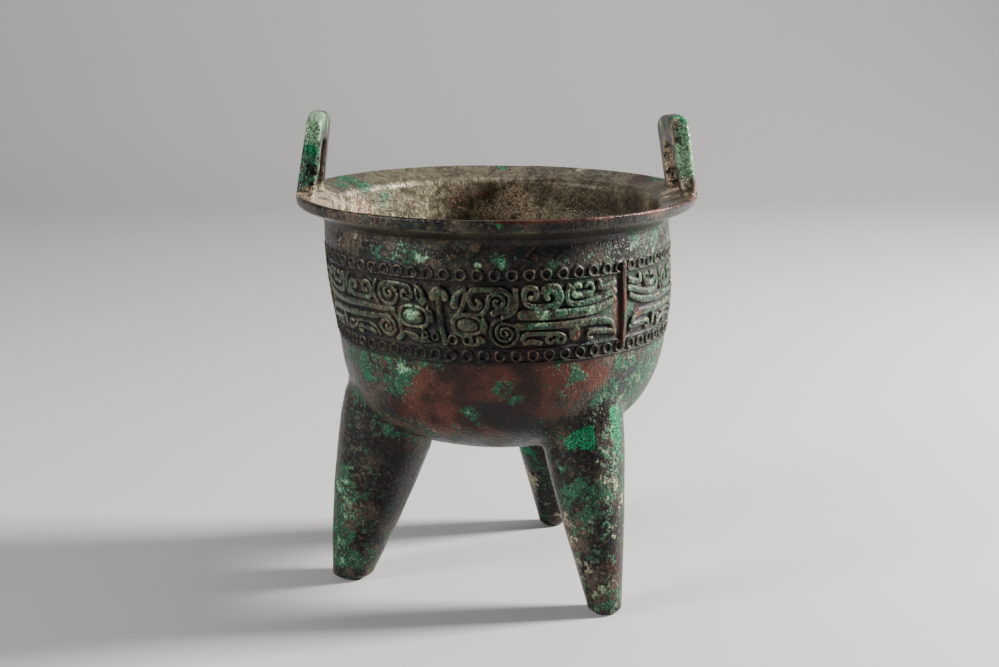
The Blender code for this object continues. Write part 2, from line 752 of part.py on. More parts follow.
def leg_hollow_stations(leg):
    """The leg's form inset by its wall, with a rounded end above the foot."""
    curve = smooth_curve(leg_stations(leg), PROFILE_STEP)
    heights = np.linspace(LEG_HOLLOW_END, LEG_HOLLOW_TOP, LEG_HOLLOW_LEVELS)
    inside = [(float(np.interp(z, curve[:, 1], curve[:, 0])) - LEG_WALL, float(z)) for z in heights]
    return [(inside[0][0] / 2, LEG_HOLLOW_END - LEG_HOLLOW_TIP)] + inside


def handle_mesh(bearing, inset_share, rise, lean, roll):
    """Upright loop: a flat arch with a bevel, leaning a little over the mouth."""
    inset = inset_share * (RIM_RADIUS - MOUTH_RADIUS)
    half = HANDLE_WIDTH / 2
    curve = bpy.data.curves.new("handle_arch", "CURVE")
    curve.dimensions = "2D"
    curve.fill_mode = "BOTH"
    curve.extrude = HANDLE_THICK / 2 - HANDLE_BEVEL
    curve.bevel_depth = HANDLE_BEVEL
    curve.bevel_resolution = 0
    curve.offset = -HANDLE_BEVEL
    spline = curve.splines.new("POLY")
    slope = math.tan(math.radians(roll))
    points = arch_points(half, rise, HANDLE_CROWN, slope)
    inner = arch_points(half - HANDLE_BAR, rise - HANDLE_TOP_BAR, HANDLE_INNER_CROWN, slope)
    points += inner[::-1]
    spline.points.add(len(points) - 1)
    for point, (x, y) in zip(spline.points, points):
        point.co = (x, y, 0, 1)
    spline.use_cyclic_u = True
    holder = bpy.data.objects.new("handle_arch", curve)
    bpy.context.scene.collection.objects.link(holder)
    bpy.context.view_layer.update()
    graph = bpy.context.evaluated_depsgraph_get()
    mesh = bpy.data.meshes.new_from_object(holder.evaluated_get(graph))
    bpy.data.objects.remove(holder, do_unlink=True)
    bm = bmesh.new()
    bm.from_mesh(mesh)
    bmesh.ops.remove_doubles(bm, verts=bm.verts, dist=HANDLE_WELD)
    bmesh.ops.recalc_face_normals(bm, faces=bm.faces)
    stand = Matrix.Rotation(math.radians(90), 4, "X")
    tilt = Matrix.Rotation(math.radians(-lean), 4, "X")
    rolled = Matrix.Rotation(math.radians(roll), 4, "Y")
    out = Matrix.Translation((0, inset - RIM_RADIUS, RIM_HEIGHT))
    turn = Matrix.Rotation(math.radians(bearing), 4, "Z")
    matrix = turn @ out @ tilt @ rolled @ stand
    matrix.translation.z -= RIM_TILT * matrix.translation.x
    bmesh.ops.transform(bm, matrix=matrix, verts=bm.verts)
    bm.to_mesh(mesh)
    bm.free()
    return mesh


def arch_points(half, rise, crown, slope):
    """Outline of one side of the loop: up one strut, over the rounded crown and down.

    The struts end level with each other in the rim, so their feet follow the rim's slope as
    the rolled handle sees it.
    """
    points = [(half, half * slope - HANDLE_SINK)]
    for k in range(CROWN_STEPS + 1):
        a = math.pi * k / CROWN_STEPS
        across = math.copysign(abs(math.cos(a)) ** CROWN_POWER, math.cos(a))
        points.append((half * across, rise - crown + crown * abs(math.sin(a)) ** CROWN_POWER))
    points.append((-half, -half * slope - HANDLE_SINK))
    return points


def place(name, mesh, group):
    thing = bpy.data.objects.new(name, mesh)
    group.objects.link(thing)
    return thing


def fuse(body, tool, operation):
    """Apply one exact Boolean to the body's mesh."""
    step = body.modifiers.new(operation.lower(), "BOOLEAN")
    step.object = tool
    step.operation = operation
    step.solver = "EXACT"
    bpy.context.view_layer.update()
    graph = bpy.context.evaluated_depsgraph_get()
    mesh = bpy.data.meshes.new_from_object(body.evaluated_get(graph))
    body.modifiers.clear()
    body.data = mesh


def make_cutter(name, mesh, group):
    cutter = place(name, mesh, group)
    cutter.hide_render = True
    cutter.display_type = "WIRE"
    return cutter


def tidy_mesh(body):
    bm = bmesh.new()
    bm.from_mesh(body.data)
    bmesh.ops.dissolve_degenerate(bm, edges=bm.edges, dist=SLIVER)
    bmesh.ops.triangulate(bm, faces=[f for f in bm.faces if len(f.verts) > 3])
    bm.to_mesh(body.data)
    bm.free()


def build_vessel():
    parts = new_collection("bronze_ding_tripod")
    cutters = new_collection("shaping_forms")
    vessel = place("vessel", bowl_outside(), parts)
    for leg in LEGS:
        form = cone_mesh("leg", leg, leg_stations(leg), LEG_SIDES)
        fuse(vessel, make_cutter(f"{leg[0]}_leg_form", form, cutters), "UNION")
    for side, bearing, inset_share, rise, lean, roll in HANDLES:
        handle = handle_mesh(bearing, inset_share, rise, lean, roll)
        fuse(vessel, make_cutter(f"{side}_handle_form", handle, cutters), "UNION")
    fuse(vessel, make_cutter("bowl_hollow", bowl_hollow(), cutters), "DIFFERENCE")
    for leg in LEGS:
        core = cone_mesh("leg_hollow", leg, leg_hollow_stations(leg), HOLLOW_SIDES)
        fuse(vessel, make_cutter(f"{leg[0]}_leg_hollow", core, cutters), "DIFFERENCE")
    tidy_mesh(vessel)
    vessel.data.materials.clear()
    vessel.data.materials.append(bronze_material())
    vessel.data.shade_smooth()
    vessel.data.set_sharp_from_angle(angle=math.radians(SHARP_ANGLE))
    return vessel


clear_scene()
build_vessel()
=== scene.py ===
"""Looks of the bronze ding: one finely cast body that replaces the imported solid, its patina, and
a pale studio.

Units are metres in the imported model's frame. The front faces -Y, and a bearing is an angle
around the axis, counted from the front towards +X.
"""
import json
import math

import bmesh
import bpy
import numpy as np
from mathutils import Matrix, Vector
from mathutils.kdtree import KDTree

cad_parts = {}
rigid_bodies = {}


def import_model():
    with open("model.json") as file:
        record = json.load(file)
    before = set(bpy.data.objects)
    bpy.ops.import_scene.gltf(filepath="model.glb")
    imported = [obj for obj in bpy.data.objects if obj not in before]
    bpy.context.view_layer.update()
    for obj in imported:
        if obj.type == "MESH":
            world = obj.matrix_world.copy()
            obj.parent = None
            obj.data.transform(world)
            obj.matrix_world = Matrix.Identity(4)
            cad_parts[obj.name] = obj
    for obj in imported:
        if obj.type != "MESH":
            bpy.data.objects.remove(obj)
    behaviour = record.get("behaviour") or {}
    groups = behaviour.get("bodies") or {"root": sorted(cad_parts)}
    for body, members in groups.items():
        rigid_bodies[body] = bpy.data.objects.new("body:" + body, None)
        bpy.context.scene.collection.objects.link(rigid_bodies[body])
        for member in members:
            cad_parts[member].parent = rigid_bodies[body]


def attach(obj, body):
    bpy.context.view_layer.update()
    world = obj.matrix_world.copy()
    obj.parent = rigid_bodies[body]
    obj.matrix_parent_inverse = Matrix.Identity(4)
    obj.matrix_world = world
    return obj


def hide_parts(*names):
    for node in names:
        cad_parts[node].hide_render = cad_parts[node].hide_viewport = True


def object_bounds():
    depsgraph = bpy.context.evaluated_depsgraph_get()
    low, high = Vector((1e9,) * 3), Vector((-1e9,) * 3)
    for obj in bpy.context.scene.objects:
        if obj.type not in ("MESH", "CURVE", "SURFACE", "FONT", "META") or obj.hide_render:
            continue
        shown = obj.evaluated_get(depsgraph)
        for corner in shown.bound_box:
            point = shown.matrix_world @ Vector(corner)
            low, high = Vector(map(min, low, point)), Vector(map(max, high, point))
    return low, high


MM = 0.001

# sizes of the casting, as in the solid
RIM_RADIUS = 0.0846
RIM_HEIGHT = 0.1707
RIM_FACE = 0.0048
RIM_FACE_TAPER = 0.0007
MOUTH_RADIUS = 0.0694
MOUTH_DROP = 0.0050
RIM_ROOT_DROP = 0.0095
RIM_ROOT_OUT = 0.0012
WALL = 0.0034
FLOOR_WALL = 0.0038
BOWL_PROFILE = (
    (0.0727, 0.1600), (0.0733, 0.1530), (0.0729, 0.1440), (0.0724, 0.1310), (0.0709, 0.1170),
    (0.0694, 0.1040), (0.0661, 0.0920), (0.0594, 0.0800), (0.0450, 0.0700), (0.0240, 0.0655),
)
BOWL_BOTTOM = 0.0642
# how far the wall leans to the right at each height, and how much the rim tilts
SWAY = ((0.075, 0.0012), (0.110, 0.0025), (0.150, 0.0005), (0.165, 0.0))
RIM_TILT = 0.007
TILT_SPAN = (0.120, 0.165)
NECK_RADIUS = 0.0728
# each leg's bearing, its spread at the foot and at the top as shares of the neck's radius, its
# low and top radius, and how much fuller its middle is as a share of the top radius
LEGS = (
    (40.6, 0.918, 0.657, 0.0069, 0.0184, 0.030),
    (156.3, 0.859, 0.673, 0.0060, 0.0208, 0.030),
    (-82.3, 0.915, 0.570, 0.0090, 0.0232, 0.060),
)
# a leg's stations: height, and the shares of the low radius, top radius and fullness there
LEG_FORM = (
    (0.0, 0.64, 0.0, 0.0), (0.0020, 1.0, 0.0, 0.0), (0.026, 0.676, 0.324, 0.70),
    (0.050, 0.394, 0.606, 1.0), (0.072, 0.127, 0.873, 0.45), (0.086, 0.0, 1.0, 0.0),
    (0.0960, 0.0, 0.91, 0.0),
)
LEG_TOP = 0.0960
LEG_WALL = 0.0040
LEG_HOLLOW_END = 0.0220
LEG_HOLLOW_TOP = 0.0800
# each handle's bearing, its inset as a share of the rim's width, its rise, lean and roll
HANDLES = ((94.2, 0.351, 0.0311, 7.8, 4.5), (-89.4, 0.448, 0.0330, 6.8, -4.5))
HANDLE_WIDTH = 0.0440
HANDLE_BAR = 0.0094
HANDLE_TOP_BAR = 0.0112
HANDLE_CROWN = 0.0054
HANDLE_INNER_CROWN = 0.0090
CROWN_POWER = 0.85
HANDLE_THICK = 0.0065
HANDLE_SINK = 0.0035
HANDLE_ROUND = 0.0018
# foot of the left handle: how far it spreads, how high up and from where on
FOOT_SPREAD = 0.0015
FOOT_HEIGHT = 0.026
FOOT_INNER = -0.074
RIM_FILLETS = (0.0018, 0.0011, 0.0009, 0.0034)
FOOT_FILLETS = (0.0012, 0.0018)
# the legs are cut back where they enter the bowl, and their hollows end in a dome
POCKET_TOP = 0.16
POCKET_MARGIN = 0.0016
HOLLOW_DOME = 0.004

# frieze, in millimetres of the unrolled wall
MASKS = 3
NOSE_BEARING = -17.9
WINDOW_START = -75.1
WINDOW_WIDTH = 153.94
LINES = ((144.9, 0.8), (117.5, 0.8), (111.8, 0.75))
LINE_HALF = 0.25
CIRCLET_ROWS = (147.3, 114.7)
CIRCLETS_PER_MASK = 23
CIRCLET_MIDDLE = 1.98
CIRCLET_HALF = 0.40
CIRCLET_RISE = 0.75
CIRCLET_GREEN = 0.45
RELIEF = 1.0
NOSE_RISE = 1.35
SEAM_RISE = 1.3
SEAM_GROOVE = 75.2
GROOVE_HALF = 0.45
GROOVE_SOFT = 0.4
EYE_RISE = 2.3
STROKE_GAIN = 0.19  # what casting added to each side of a stroke
STROKE_CROWN = 0.12
EDGE_SOFT = 0.37
LINE_SOFT = 0.75
CIRCLET_SOFT = 0.6
LID_WIDTH = 1.3
OVAL_POWER = 2.6
FAR = 9.0

# the side where the frieze is most worn: its bearing and spread in degrees, and the share gone
WORN_BEARING = -84
WORN_SPREAD = 24
WORN_SHARE = 0.45

# mesh density, and the most triangles that the whole casting may have
COLUMNS = 210
FINE_PER_COLUMN = 8
FINE_ROWS = 132
BAND = (0.1095, 0.1535)
FIELD_COLUMNS = 770
FIELD_STEP = 0.2
MOST_TRIANGLES = 197000
LEG_COLUMNS = 48
POCKET_COLUMNS = 90
HOLLOW_COLUMNS = 32
HANDLE_RINGS = 74
CORNER_POINTS = 6
FACE_POINTS = 5
HANDLE_COLUMNS = 4 * CORNER_POINTS + 2 * FACE_POINTS
OUTSIDE_STEP = 0.0021
INSIDE_STEP = 0.0030
RIM_STEP = 0.0014
LEG_STEP = 0.0018
TINY = 1e-5

# joints that are rounded off: how far around them in metres, and how many times
JOINTS = {"leg": (0.0075, 16), "hollow": (0.0040, 8), "handle": (0.0045, 9)}
CREASE_ANGLE = 0.30
HANDLE_JOINT_HEIGHTS = (0.1585, 0.1722)
HANDLE_JOINT_OUT = 0.064
HANDLE_JOINT_ASIDE = 0.028
LEG_JOINT_HEIGHTS = (0.055, 0.105)

# unevenness of the surface: height in mm, size of its lumps in metres and seed
UNEVEN = ((0.20, 0.022, 1), (0.10, 0.009, 2), (0.05, 0.0042, 3))
FRIEZE_GRIT = (0.06, 0.0016, 4)

# ragged outlines of the patches: size of the lumps, three seeds and how far in metres
RAGGED = ((0.0055, (11, 12, 13), 0.0020), (0.0022, (14, 15, 16), 0.0009))
PATCH_SEED = 24
HIDDEN_BEHIND = 0.014  # points further back than this, or turned this far to the back, are hidden
HIDDEN_TURN = 0.60

# slow changes of tone: strength, size of the lumps in metres and seed
TONE_LUMPS = ((0.50, 0.011, 31), (0.30, 0.005, 32))
CLOUD_LUMPS = (0.60, 0.034, 33)

# how sharply a bend in the surface shows as a lighter edge, worn metal that is partly a painted
# highlight, or as painted shade with some grime in hollows, and where each begins
BEND_GAIN = 4
EDGE_START = 0.35
CORNER_START = 0.10

# patina, with painted shade among the dark patches and a painted highlight in the earth on the left
# of the rim: for each kind and strength, the middle and the radius of every patch that is seen, in
# mm
GREEN_PATCHES = {
    1: ((-53, -41, 104, 7), (-37, -57, 107, 8), (-33, -66, 130, 4), (-25, -67, 127, 2.2),
        (-29, -65, 124, 1.6), (3, -73, 152, 4.5), (31, -64, 105, 5), (62, -32, 100, 10),
        (-51, -27, 78, 3.5), (-46, -28, 74, 3.5), (-41, -26, 70, 3.5), (-35, -22, 67, 3),
        (27, -53, 62, 2.3), (14, 44, 40, 5), (-66, 41, 169, 7), (72, 5, 166, 1.8),
        (-77, -23, 190, 8), (73, -5, 200, 4)),
    0.95: ((-66, -18, 43, 10), (-66, -18, 13, 10)),
    0.9: ((-25, -66, 115, 3.5), (-38, -60, 121, 2.4), (-50, -50, 121, 2), (-46, -56, 155, 4),
        (41, -61, 148, 5), (25, -67, 112, 5), (55, -41, 97, 8), (-10, -63, 88, 5), (1, -68, 101, 5),
        (-39, -54, 99, 7), (46, -51, 96, 7), (-56, -25, 83, 4), (-60, 41, 167, 7), (3, 83, 170, 5),
        (-68, -17, 23, 11), (-51, -25, 52, 4), (32, -55, 54, 6), (-78, -23, 180, 6),
        (-71, 0, 200, 6)),
    0.85: ((-67, -17, 33, 11),),
    0.8: ((-43, -53, 110, 4), (-60, -31, 107, 7), (-38, -62, 156, 6), (25, -69, 137, 9),
        (37, -64, 136, 9), (41, -62, 127, 7), (33, -65, 143, 7), (23, -70, 148, 6),
        (37, -63, 115, 6), (65, -35, 150, 6), (-11, -64, 90, 4), (-44, -51, 102, 6),
        (-58, -23, 88, 5), (17, 44, 34, 4), (-69, 31, 168, 5), (59, -40, 103, 8),
        (-72, -13, 195, 3), (-75, 12, 186, 3), (-64, -19, 51, 9), (-44, -23, 51, 2.5),
        (29, -53, 50, 7)),
    0.7: ((-23, -65, 111, 6), (-49, -47, 110, 5), (-51, -52, 136, 4), (-33, -65, 153, 5),
        (15, -72, 131, 9), (65, -32, 116, 6), (7, -67, 95, 4), (19, -67, 102, 3), (39, -54, 92, 5),
        (-51, 47, 160, 8), (-73, -20, 190, 6), (-27, -64, 111, 6), (-57, -32, 95, 6),
        (69, -25, 123, 7), (55, -32, 86, 6), (-73, -15, 183, 3), (36, -57, 49, 9), (73, 8, 197, 4)),
    0.65: ((-58, -22, 40, 9), (44, -56, 48, 9), (34, -55, 40, 10), (41, -57, 14, 8)),
    0.6: ((-44, -58, 133, 4), (-22, -71, 141, 3.5), (-19, -69, 127, 3), (-16, -71, 137, 3),
        (9, -72, 129, 7), (58, -42, 110, 6), (60, -43, 147, 5), (25, -63, 97, 4), (-55, 43, 158, 6),
        (78, -15, 188, 7), (9, -84, 167, 3), (-62, 31, 158, 2), (-62, -18, 86, 6), (47, -47, 90, 4),
        (82, -14, 180, 4), (24, -48, 57, 4), (-59, -22, 28, 9), (-57, -19, 16, 8),
        (44, -56, 38, 10), (38, -57, 27, 10), (46, -56, 25, 8), (58, -45, 154, 5),
        (65, -34, 156, 4), (-64, -20, 105, 6), (60, -27, 89, 7)),
    0.55: ((-66, -17, 60, 8),),
    0.5: ((-50, -52, 128, 4), (24, 50, 7, 4), (80, -15, 182, 5), (-63, -19, 79, 5),
        (-41, -25, 65, 4), (26, -53, 71, 3), (35, -56, 84, 6), (-50, -26, 59, 5), (28, -54, 67, 4),
        (50, -49, 57, 4), (32, -52, 30, 7), (48, -56, 149, 5)),
    0.45: ((-62, -20, 70, 7),),
    0.4: ((44, -51, 89, 6), (-44, 54, 155, 8), (-51, -22, 40, 8), (30, -55, 65, 6),
        (-28, -64, 116, 5)),
    0.35: ((-31, 62, 157, 8), (42, -55, 70, 7)),
    0.3: ((-26, 64, 161, 6),),
}
EMERALD_PATCHES = {
    1: ((47, -50, 85, 3.5), (48, -50, 81, 3.5), (48, -50, 76, 3.5), (49, -49, 71, 3),
        (50, -48, 66, 2.4), (33, -56, 77, 4.5), (37, -56, 75, 4), (14, 43, 42, 4),
        (-76, -21, 190.5, 3.2), (78, -10, 200, 3.5), (47, -50, 87, 3), (49, -48, 74, 3)),
    0.9: ((31, -56, 74, 3), (26, -49, 48, 2.6), (0, -84, 169, 1.5), (49, -47, 84, 3),
        (35, -56, 78, 4)),
    0.8: ((37, -56, 79, 3), (66, -30, 110, 3), (20, -82, 167, 1.2), (-53, -40, 101, 3),
        (-26, -67, 128, 1.4), (75, -5, 201, 2.5)),
    0.7: ((65, -30, 104, 3), (-76, -21, 193.5, 2.2), (76, -8, 201, 3), (33, -56, 61, 2),
        (44, -56, 42, 2.5), (3, -73, 152, 2), (-53, -26, 80, 2)),
    0.6: ((-37, -57, 105, 3),),
}
PALE_PATCHES = {
    1.2: ((-74, -15, 203, 7),),
    1: ((-32, -66, 131, 4), (-73, -19, 202, 8), (-72, -9, 203, 6)),
    0.95: ((79, -15, 184, 6), (80, -14, 192, 4), (81, -14, 184, 4), (77, -16, 198, 5),
        (78, -16, 189, 4.5), (-75, -22, 196, 5)),
    0.9: ((-7, -73, 151, 2.5), (46, -54, 55, 3), (79, -15, 194, 6), (74, 17, 196, 5)),
    0.8: ((3, -73, 152, 2.5), (44, -57, 13, 4.5), (-73, -17, 190, 3), (-74, -16, 183, 3)),
    0.7: ((-71, -8, 199, 5), (-37, -57, 108, 5), (-38, -62, 156, 5), (-29, -67, 153, 4),
        (31, -66, 139, 5), (17, -72, 131, 5), (40, -56, 9, 4), (-65, -19, 47, 3), (80, -16, 177, 5),
        (75, 17, 188, 4), (-71, 8, 199, 6)),
    0.64: ((64, -37, 148, 7),),
    0.6: ((37, -64, 131, 6), (41, -61, 135, 5), (-67, -18, 11, 4), (1, -69, 101, 2.5),
        (-50, -51, 135, 2.5), (-22, -70, 142, 2.5), (27, -53, 62, 2), (-66, -18, 43, 6),
        (-64, -20, 35, 7), (-78, -23, 182, 5)),
    0.55: ((-68, -17, 17, 6), (-77, -23, 189, 4)),
    0.5: ((-60, -22, 37, 5), (-67, -17, 24, 4), (-11, -63, 89, 2), (-51, 47, 163, 5),
        (37, -63, 146, 5), (41, -56, 59, 4), (47, -54, 51, 4)),
    0.48: ((45, -59, 141, 4), (67, -32, 133, 4), (61, -40, 140, 5), (55, -49, 148, 6),
        (47, -57, 147, 5), (60, -42, 153, 5)),
    0.45: ((-62, -21, 53, 5),),
    0.4: ((-59, -22, 30, 6),),
}
RED_PATCHES = {
    1: ((-26, -62, 101, 12.5), (-17, -65, 98, 15), (-7, -68, 103, 12.5), (-23, -61, 93, 13.8),
        (-11, -65, 94, 12.5), (9, -69, 107, 12.5), (17, -67, 102, 12.5), (25, -66, 105, 8.8),
        (-30, -61, 105, 7.5), (-33, -56, 93, 8.8), (37, -60, 104, 7.5), (49, -54, 148, 2.6),
        (49, -55, 145, 2.6), (49, -56, 142, 2.6), (49, -56, 139, 2.6), (49, -56, 135, 2.6),
        (49, -55, 132, 2.6), (49, -55, 129, 2.6), (50, -55, 125, 2.6), (50, -55, 122, 2.6),
        (50, -53, 118, 2.6)),
    0.9: ((-19, -58, 83, 11.2), (-39, -50, 89, 6.2), (36, -61, 110, 6.2), (41, -57, 102, 5),
        (58, -46, 127, 3.5)),
    0.8: ((3, -66, 94, 11.2), (-45, -51, 105, 2.5)),
    0.7: ((15, -65, 93, 11.2), (-3, -61, 84, 12.5), (31, -61, 98, 6.2), (25, -60, 90, 6.2),
        (-59, -27, 96, 2.5), (66, -34, 133, 3), (32, -65, 121, 4)),
    0.6: ((71, -20, 118, 3), (20, 51, 11, 4)),
    0.5: ((-47, -28, 75, 4),),
    0.4: ((-60, -33, 117, 5), (-65, -28, 129, 6), (-68, -23, 138, 6), (41, -61, 153, 5)),
    0.35: ((9, -72, 159, 10),),
}
# the earth on the left of the rim is laid on partly as a painted highlight, where light falls on
# the rim's slope there
EARTH_PATCHES = {
    1.1: ((-74, -12, 168, 9), (-70, -26, 168, 8), (-78, -2, 170, 7), (73, 4, 169, 5)),
    1: ((9, 69, 154, 10), (75, 20, 178, 6), (-78, -23, 171, 3), (74, -8, 192, 5), (77, 19, 184, 5),
        (75, 12, 169, 5)),
    0.9: ((4, 70, 152, 8), (16, 68, 152, 8), (-76, -22, 173, 5), (-75, 2, 168, 6), (-69, 8, 166, 8),
        (75, 16, 187, 6), (75, 20, 172, 4), (76, 16, 168, 4), (-66, 20, 161, 6), (-63, 30, 159, 7),
        (78, 19, 179, 4), (78, 19, 175, 4), (-72, 12, 168, 8), (6, 71, 158, 9)),
    0.8: ((79, -16, 175, 4), (49, -54, 112, 4), (-59, 37, 156, 6), (73, -9, 197, 5),
        (-76, 36, 171, 3), (-6, 70, 152, 8), (76, -4, 170, 4)),
    0.7: ((-81, -21, 171, 3), (54, -48, 114, 6), (29, -51, 40, 5), (31, -51, 32, 5)),
    0.61: ((33, -52, 25, 5), (49, -51, 48, 6), (43, -57, 12, 7)),
    0.6: ((-64, 27, 163, 6), (81, -16, 171, 4), (52, -51, 117, 3), (-55, 43, 154, 7),
        (70, 12, 190, 7), (70, 0, 196, 7)),
    0.59: ((-26, -52, 80, 5),),
    0.57: ((46, -54, 58, 7), (38, -56, 20, 7)),
    0.55: ((-17, 68, 154, 9),),
    0.53: ((42, -56, 63, 8), (47, -55, 35, 6)),
    0.52: ((-50, -35, 85, 4), (19, 50, 17, 4)),
    0.5: ((77, 4, 168, 4), (58, -44, 117, 4), (-52, 47, 167, 4), (41, -59, 114, 4),
        (-49, 50, 153, 7), (-41, 56, 151, 7), (-35, 60, 155, 9), (-26, 64, 157, 9),
        (-8, 69, 158, 9), (-12, 68, 150, 8), (-73, 25, 169, 5), (-64, -38, 156, 8),
        (-56, -47, 160, 7), (-67, -28, 158, 7)),
    0.45: ((-45, -38, 81, 4), (23, 66, 155, 8), (38, -57, 36, 8)),
    0.4: ((-21, -70, 156, 5), (-52, -51, 158, 8), (64, 37, 167, 8), (37, -62, 117, 3),
        (-69, -24, 151, 6), (-46, 52, 165, 9), (-61, -40, 160, 7), (-66, -31, 145, 5),
        (-69, -14, 126, 4)),
    0.39: ((22, 49, 12, 4), (36, -57, 51, 7)),
    0.36: ((40, -55, 84, 7),),
    0.35: ((-59, -43, 150, 8), (-40, 64, 168, 8), (-22, 76, 169, 8), (-57, -45, 144, 5)),
    0.33: ((-55, -33, 91, 3), (-61, -21, 68, 6), (-63, -21, 32, 9), (-66, -18, 11, 7),
        (44, -54, 71, 5)),
    0.3: ((48, 61, 168, 10), (2, 75, 168, 9)),
    0.29: ((-66, -16, 64, 6),),
    0.26: ((29, -56, 80, 6),),
    0.25: ((-36, 70, 169, 8), (30, 72, 168, 9)),
    0.23: ((-54, -24, 49, 5),),
}
# the dark patches are partly dark patina and partly painted shade: on the neck under the rim at the
# front, inside the bowl at the right and at the top of the right handle's slot
DARK_AND_SHADE_PATCHES = {
    1: ((3, -62, 86, 5), (10, -60, 83, 8)),
    0.9: ((-2, -65, 91, 7), (19, -56, 79, 7), (50, -41, 103, 11), (57, -31, 101, 10)),
    0.8: ((-11, -52, 76, 9), (-45, -50, 102, 2), (73, 4, 194, 2.5), (73, 6, 190, 2.5),
        (44, -45, 97, 9)),
    0.75: ((60, 32, 158, 13), (67, 8, 158, 12)),
    0.7: ((29, -56, 82, 5), (-50, -26, 63, 8), (-42, -24, 58, 8), (-53, -21, 30, 7),
        (-56, -17, 10, 6), (46, -57, 7, 3), (52, 47, 155, 9), (64, 28, 159, 7), (-50, -45, 104, 2),
        (60, -36, 110, 8)),
    0.6: ((3, -73, 155, 14), (25, -69, 156, 16), (-18, -67, 110, 6), (-6, -70, 111, 8),
        (-48, -23, 44, 6), (38, -56, 66, 5), (36, -57, 59, 4), (40, -56, 7, 3), (22, 40, 37, 4),
        (39, 58, 155, 9), (-75, -22, 178, 4), (50, 50, 158, 12), (66, -14, 160, 9)),
    0.5: ((-6, -73, 152, 8), (9, -70, 111, 6), (41, -57, 34, 6), (25, 43, 26, 4), (25, -53, 75, 4),
        (-77, -23, 176, 4)),
    0.4: ((30, 63, 156, 7), (1, -73, 126, 9), (-10, -73, 126, 6), (13, -71, 121, 6)),
}
PATCHES = {
    "green": GREEN_PATCHES,
    "emerald": EMERALD_PATCHES,
    "pale": PALE_PATCHES,
    "red": RED_PATCHES,
    "earth": EARTH_PATCHES,
    "dark": DARK_AND_SHADE_PATCHES,
}
# how far a fine green film covers the legs and the front of the bowl towards the right, how far
# a fine earthy crust covers the latter, and where these begin and end
LEG_HAZE = 0.50
SIDE_HAZE = 0.68
SIDE_CRUST = 0.40
LEG_HAZE_TOP = 0.105
SIDE_START = 0.020
SIDE_TOP = 0.161
HAZE_FADE = 0.025
RIM_DUST = 0.45  # dust on top of the rim, as a share of that inside the bowl
RED_LIP = 0.85
# painted shade on the neck under the rim: how dark, its middle height, its reach up and down, and
# the radii it lies between
UNDER_RIM_SHADE = 0.8
UNDER_RIM_HEIGHT = 0.1625
UNDER_RIM_REACH = 0.0055
UNDER_RIM_RADII = (0.0715, 0.0815)
# on the hidden sides, for each kind: number of patches, smallest and largest radius in mm
HIDDEN_PATCHES = {
    "green": (80, 4, 12), "emerald": (14, 2, 5), "pale": (20, 3, 8), "red": (30, 5, 14),
    "earth": (34, 3, 8), "dark": (40, 6, 15),
}

# how the patches lie over the bronze, one over the other: where a patch begins and is full, how
# ragged the grain makes its edge, and how much it covers
LAYERS = {
    "red": (0.42, 0.60, 1.7, 1.0), "dark": (0.46, 0.70, 2.6, 0.75),
    "green": (0.54, 0.80, 2.7, 1.0), "pale": (0.46, 0.76, 1.8, 0.80),
    "emerald": (0.50, 0.62, 1.7, 1.0), "earth": (0.50, 0.86, 2.4, 0.70),
}

# colours in screen numbers: the first, then others laid over it, each with the noise or value
# that it follows, where that begins and ends, and how much the colour covers there and there
SHADES = {
    "bronze": (
        (24, 21, 20), ("tone", 0.25, 0.80, 0, 1, (68, 58, 49)),
        ("other", 0.46, 0.60, 0, 0.75, (30, 44, 36)), ("small", 0.54, 0.64, 0, 0.35, (108, 90, 72)),
        ("small", 0.38, 0.47, 0.60, 0, (18, 16, 15)), ("cloud", 0.50, 0.90, 0, 0.60, (20, 19, 19)),
    ),
    "dust": ((80, 74, 60), ("other", 0.38, 0.62, 0, 1, (122, 114, 94))),
    "tops": ((23, 37, 29), ("small", 0.42, 0.58, 0, 1, (58, 77, 57))),
    "red": (
        (36, 23, 20), ("tone", 0.15, 0.85, 0, 1, (76, 43, 34)),
        ("small", 0.54, 0.66, 0, 0.5, (40, 27, 24)),
    ),
    # the dark patches: dark patina, and painted shade where they stand for it
    "dark": ((24, 25, 25),),
    "green": (
        (19, 42, 32), ("other", 0.40, 0.60, 0, 1, (32, 70, 51)),
        ("spots", 0.52, 0.66, 0, 0.50, (84, 126, 90)), ("small", 0.38, 0.47, 0.55, 0, (16, 28, 23)),
    ),
    "pale": ((64, 108, 80), ("spots", 0.40, 0.60, 0, 1, (140, 172, 136))),
    "emerald": ((2, 58, 38), ("spots", 0.40, 0.62, 0, 1, (18, 118, 74))),
    "earth": ((92, 80, 64), ("spots", 0.38, 0.60, 0, 1, (184, 166, 142))),
    # the near-black colour is painted shade with some grime; the edge colour is worn metal and
    # partly a painted highlight
    "grains": ((150, 124, 92),), "grime_and_shade": ((12, 11, 11),), "edge": ((150, 126, 104),),
}

# three noises of the surface: scale, detail, roughness and where each starts
NOISES = {
    "small": (560, 3, 0.68, (0, 0, 0)), "other": (210, 3, 0.68, (0.31, 0.17, 0.05)),
    "spots": (1150, 1, 0.6, (0.09, 0.42, 0.23)),
}

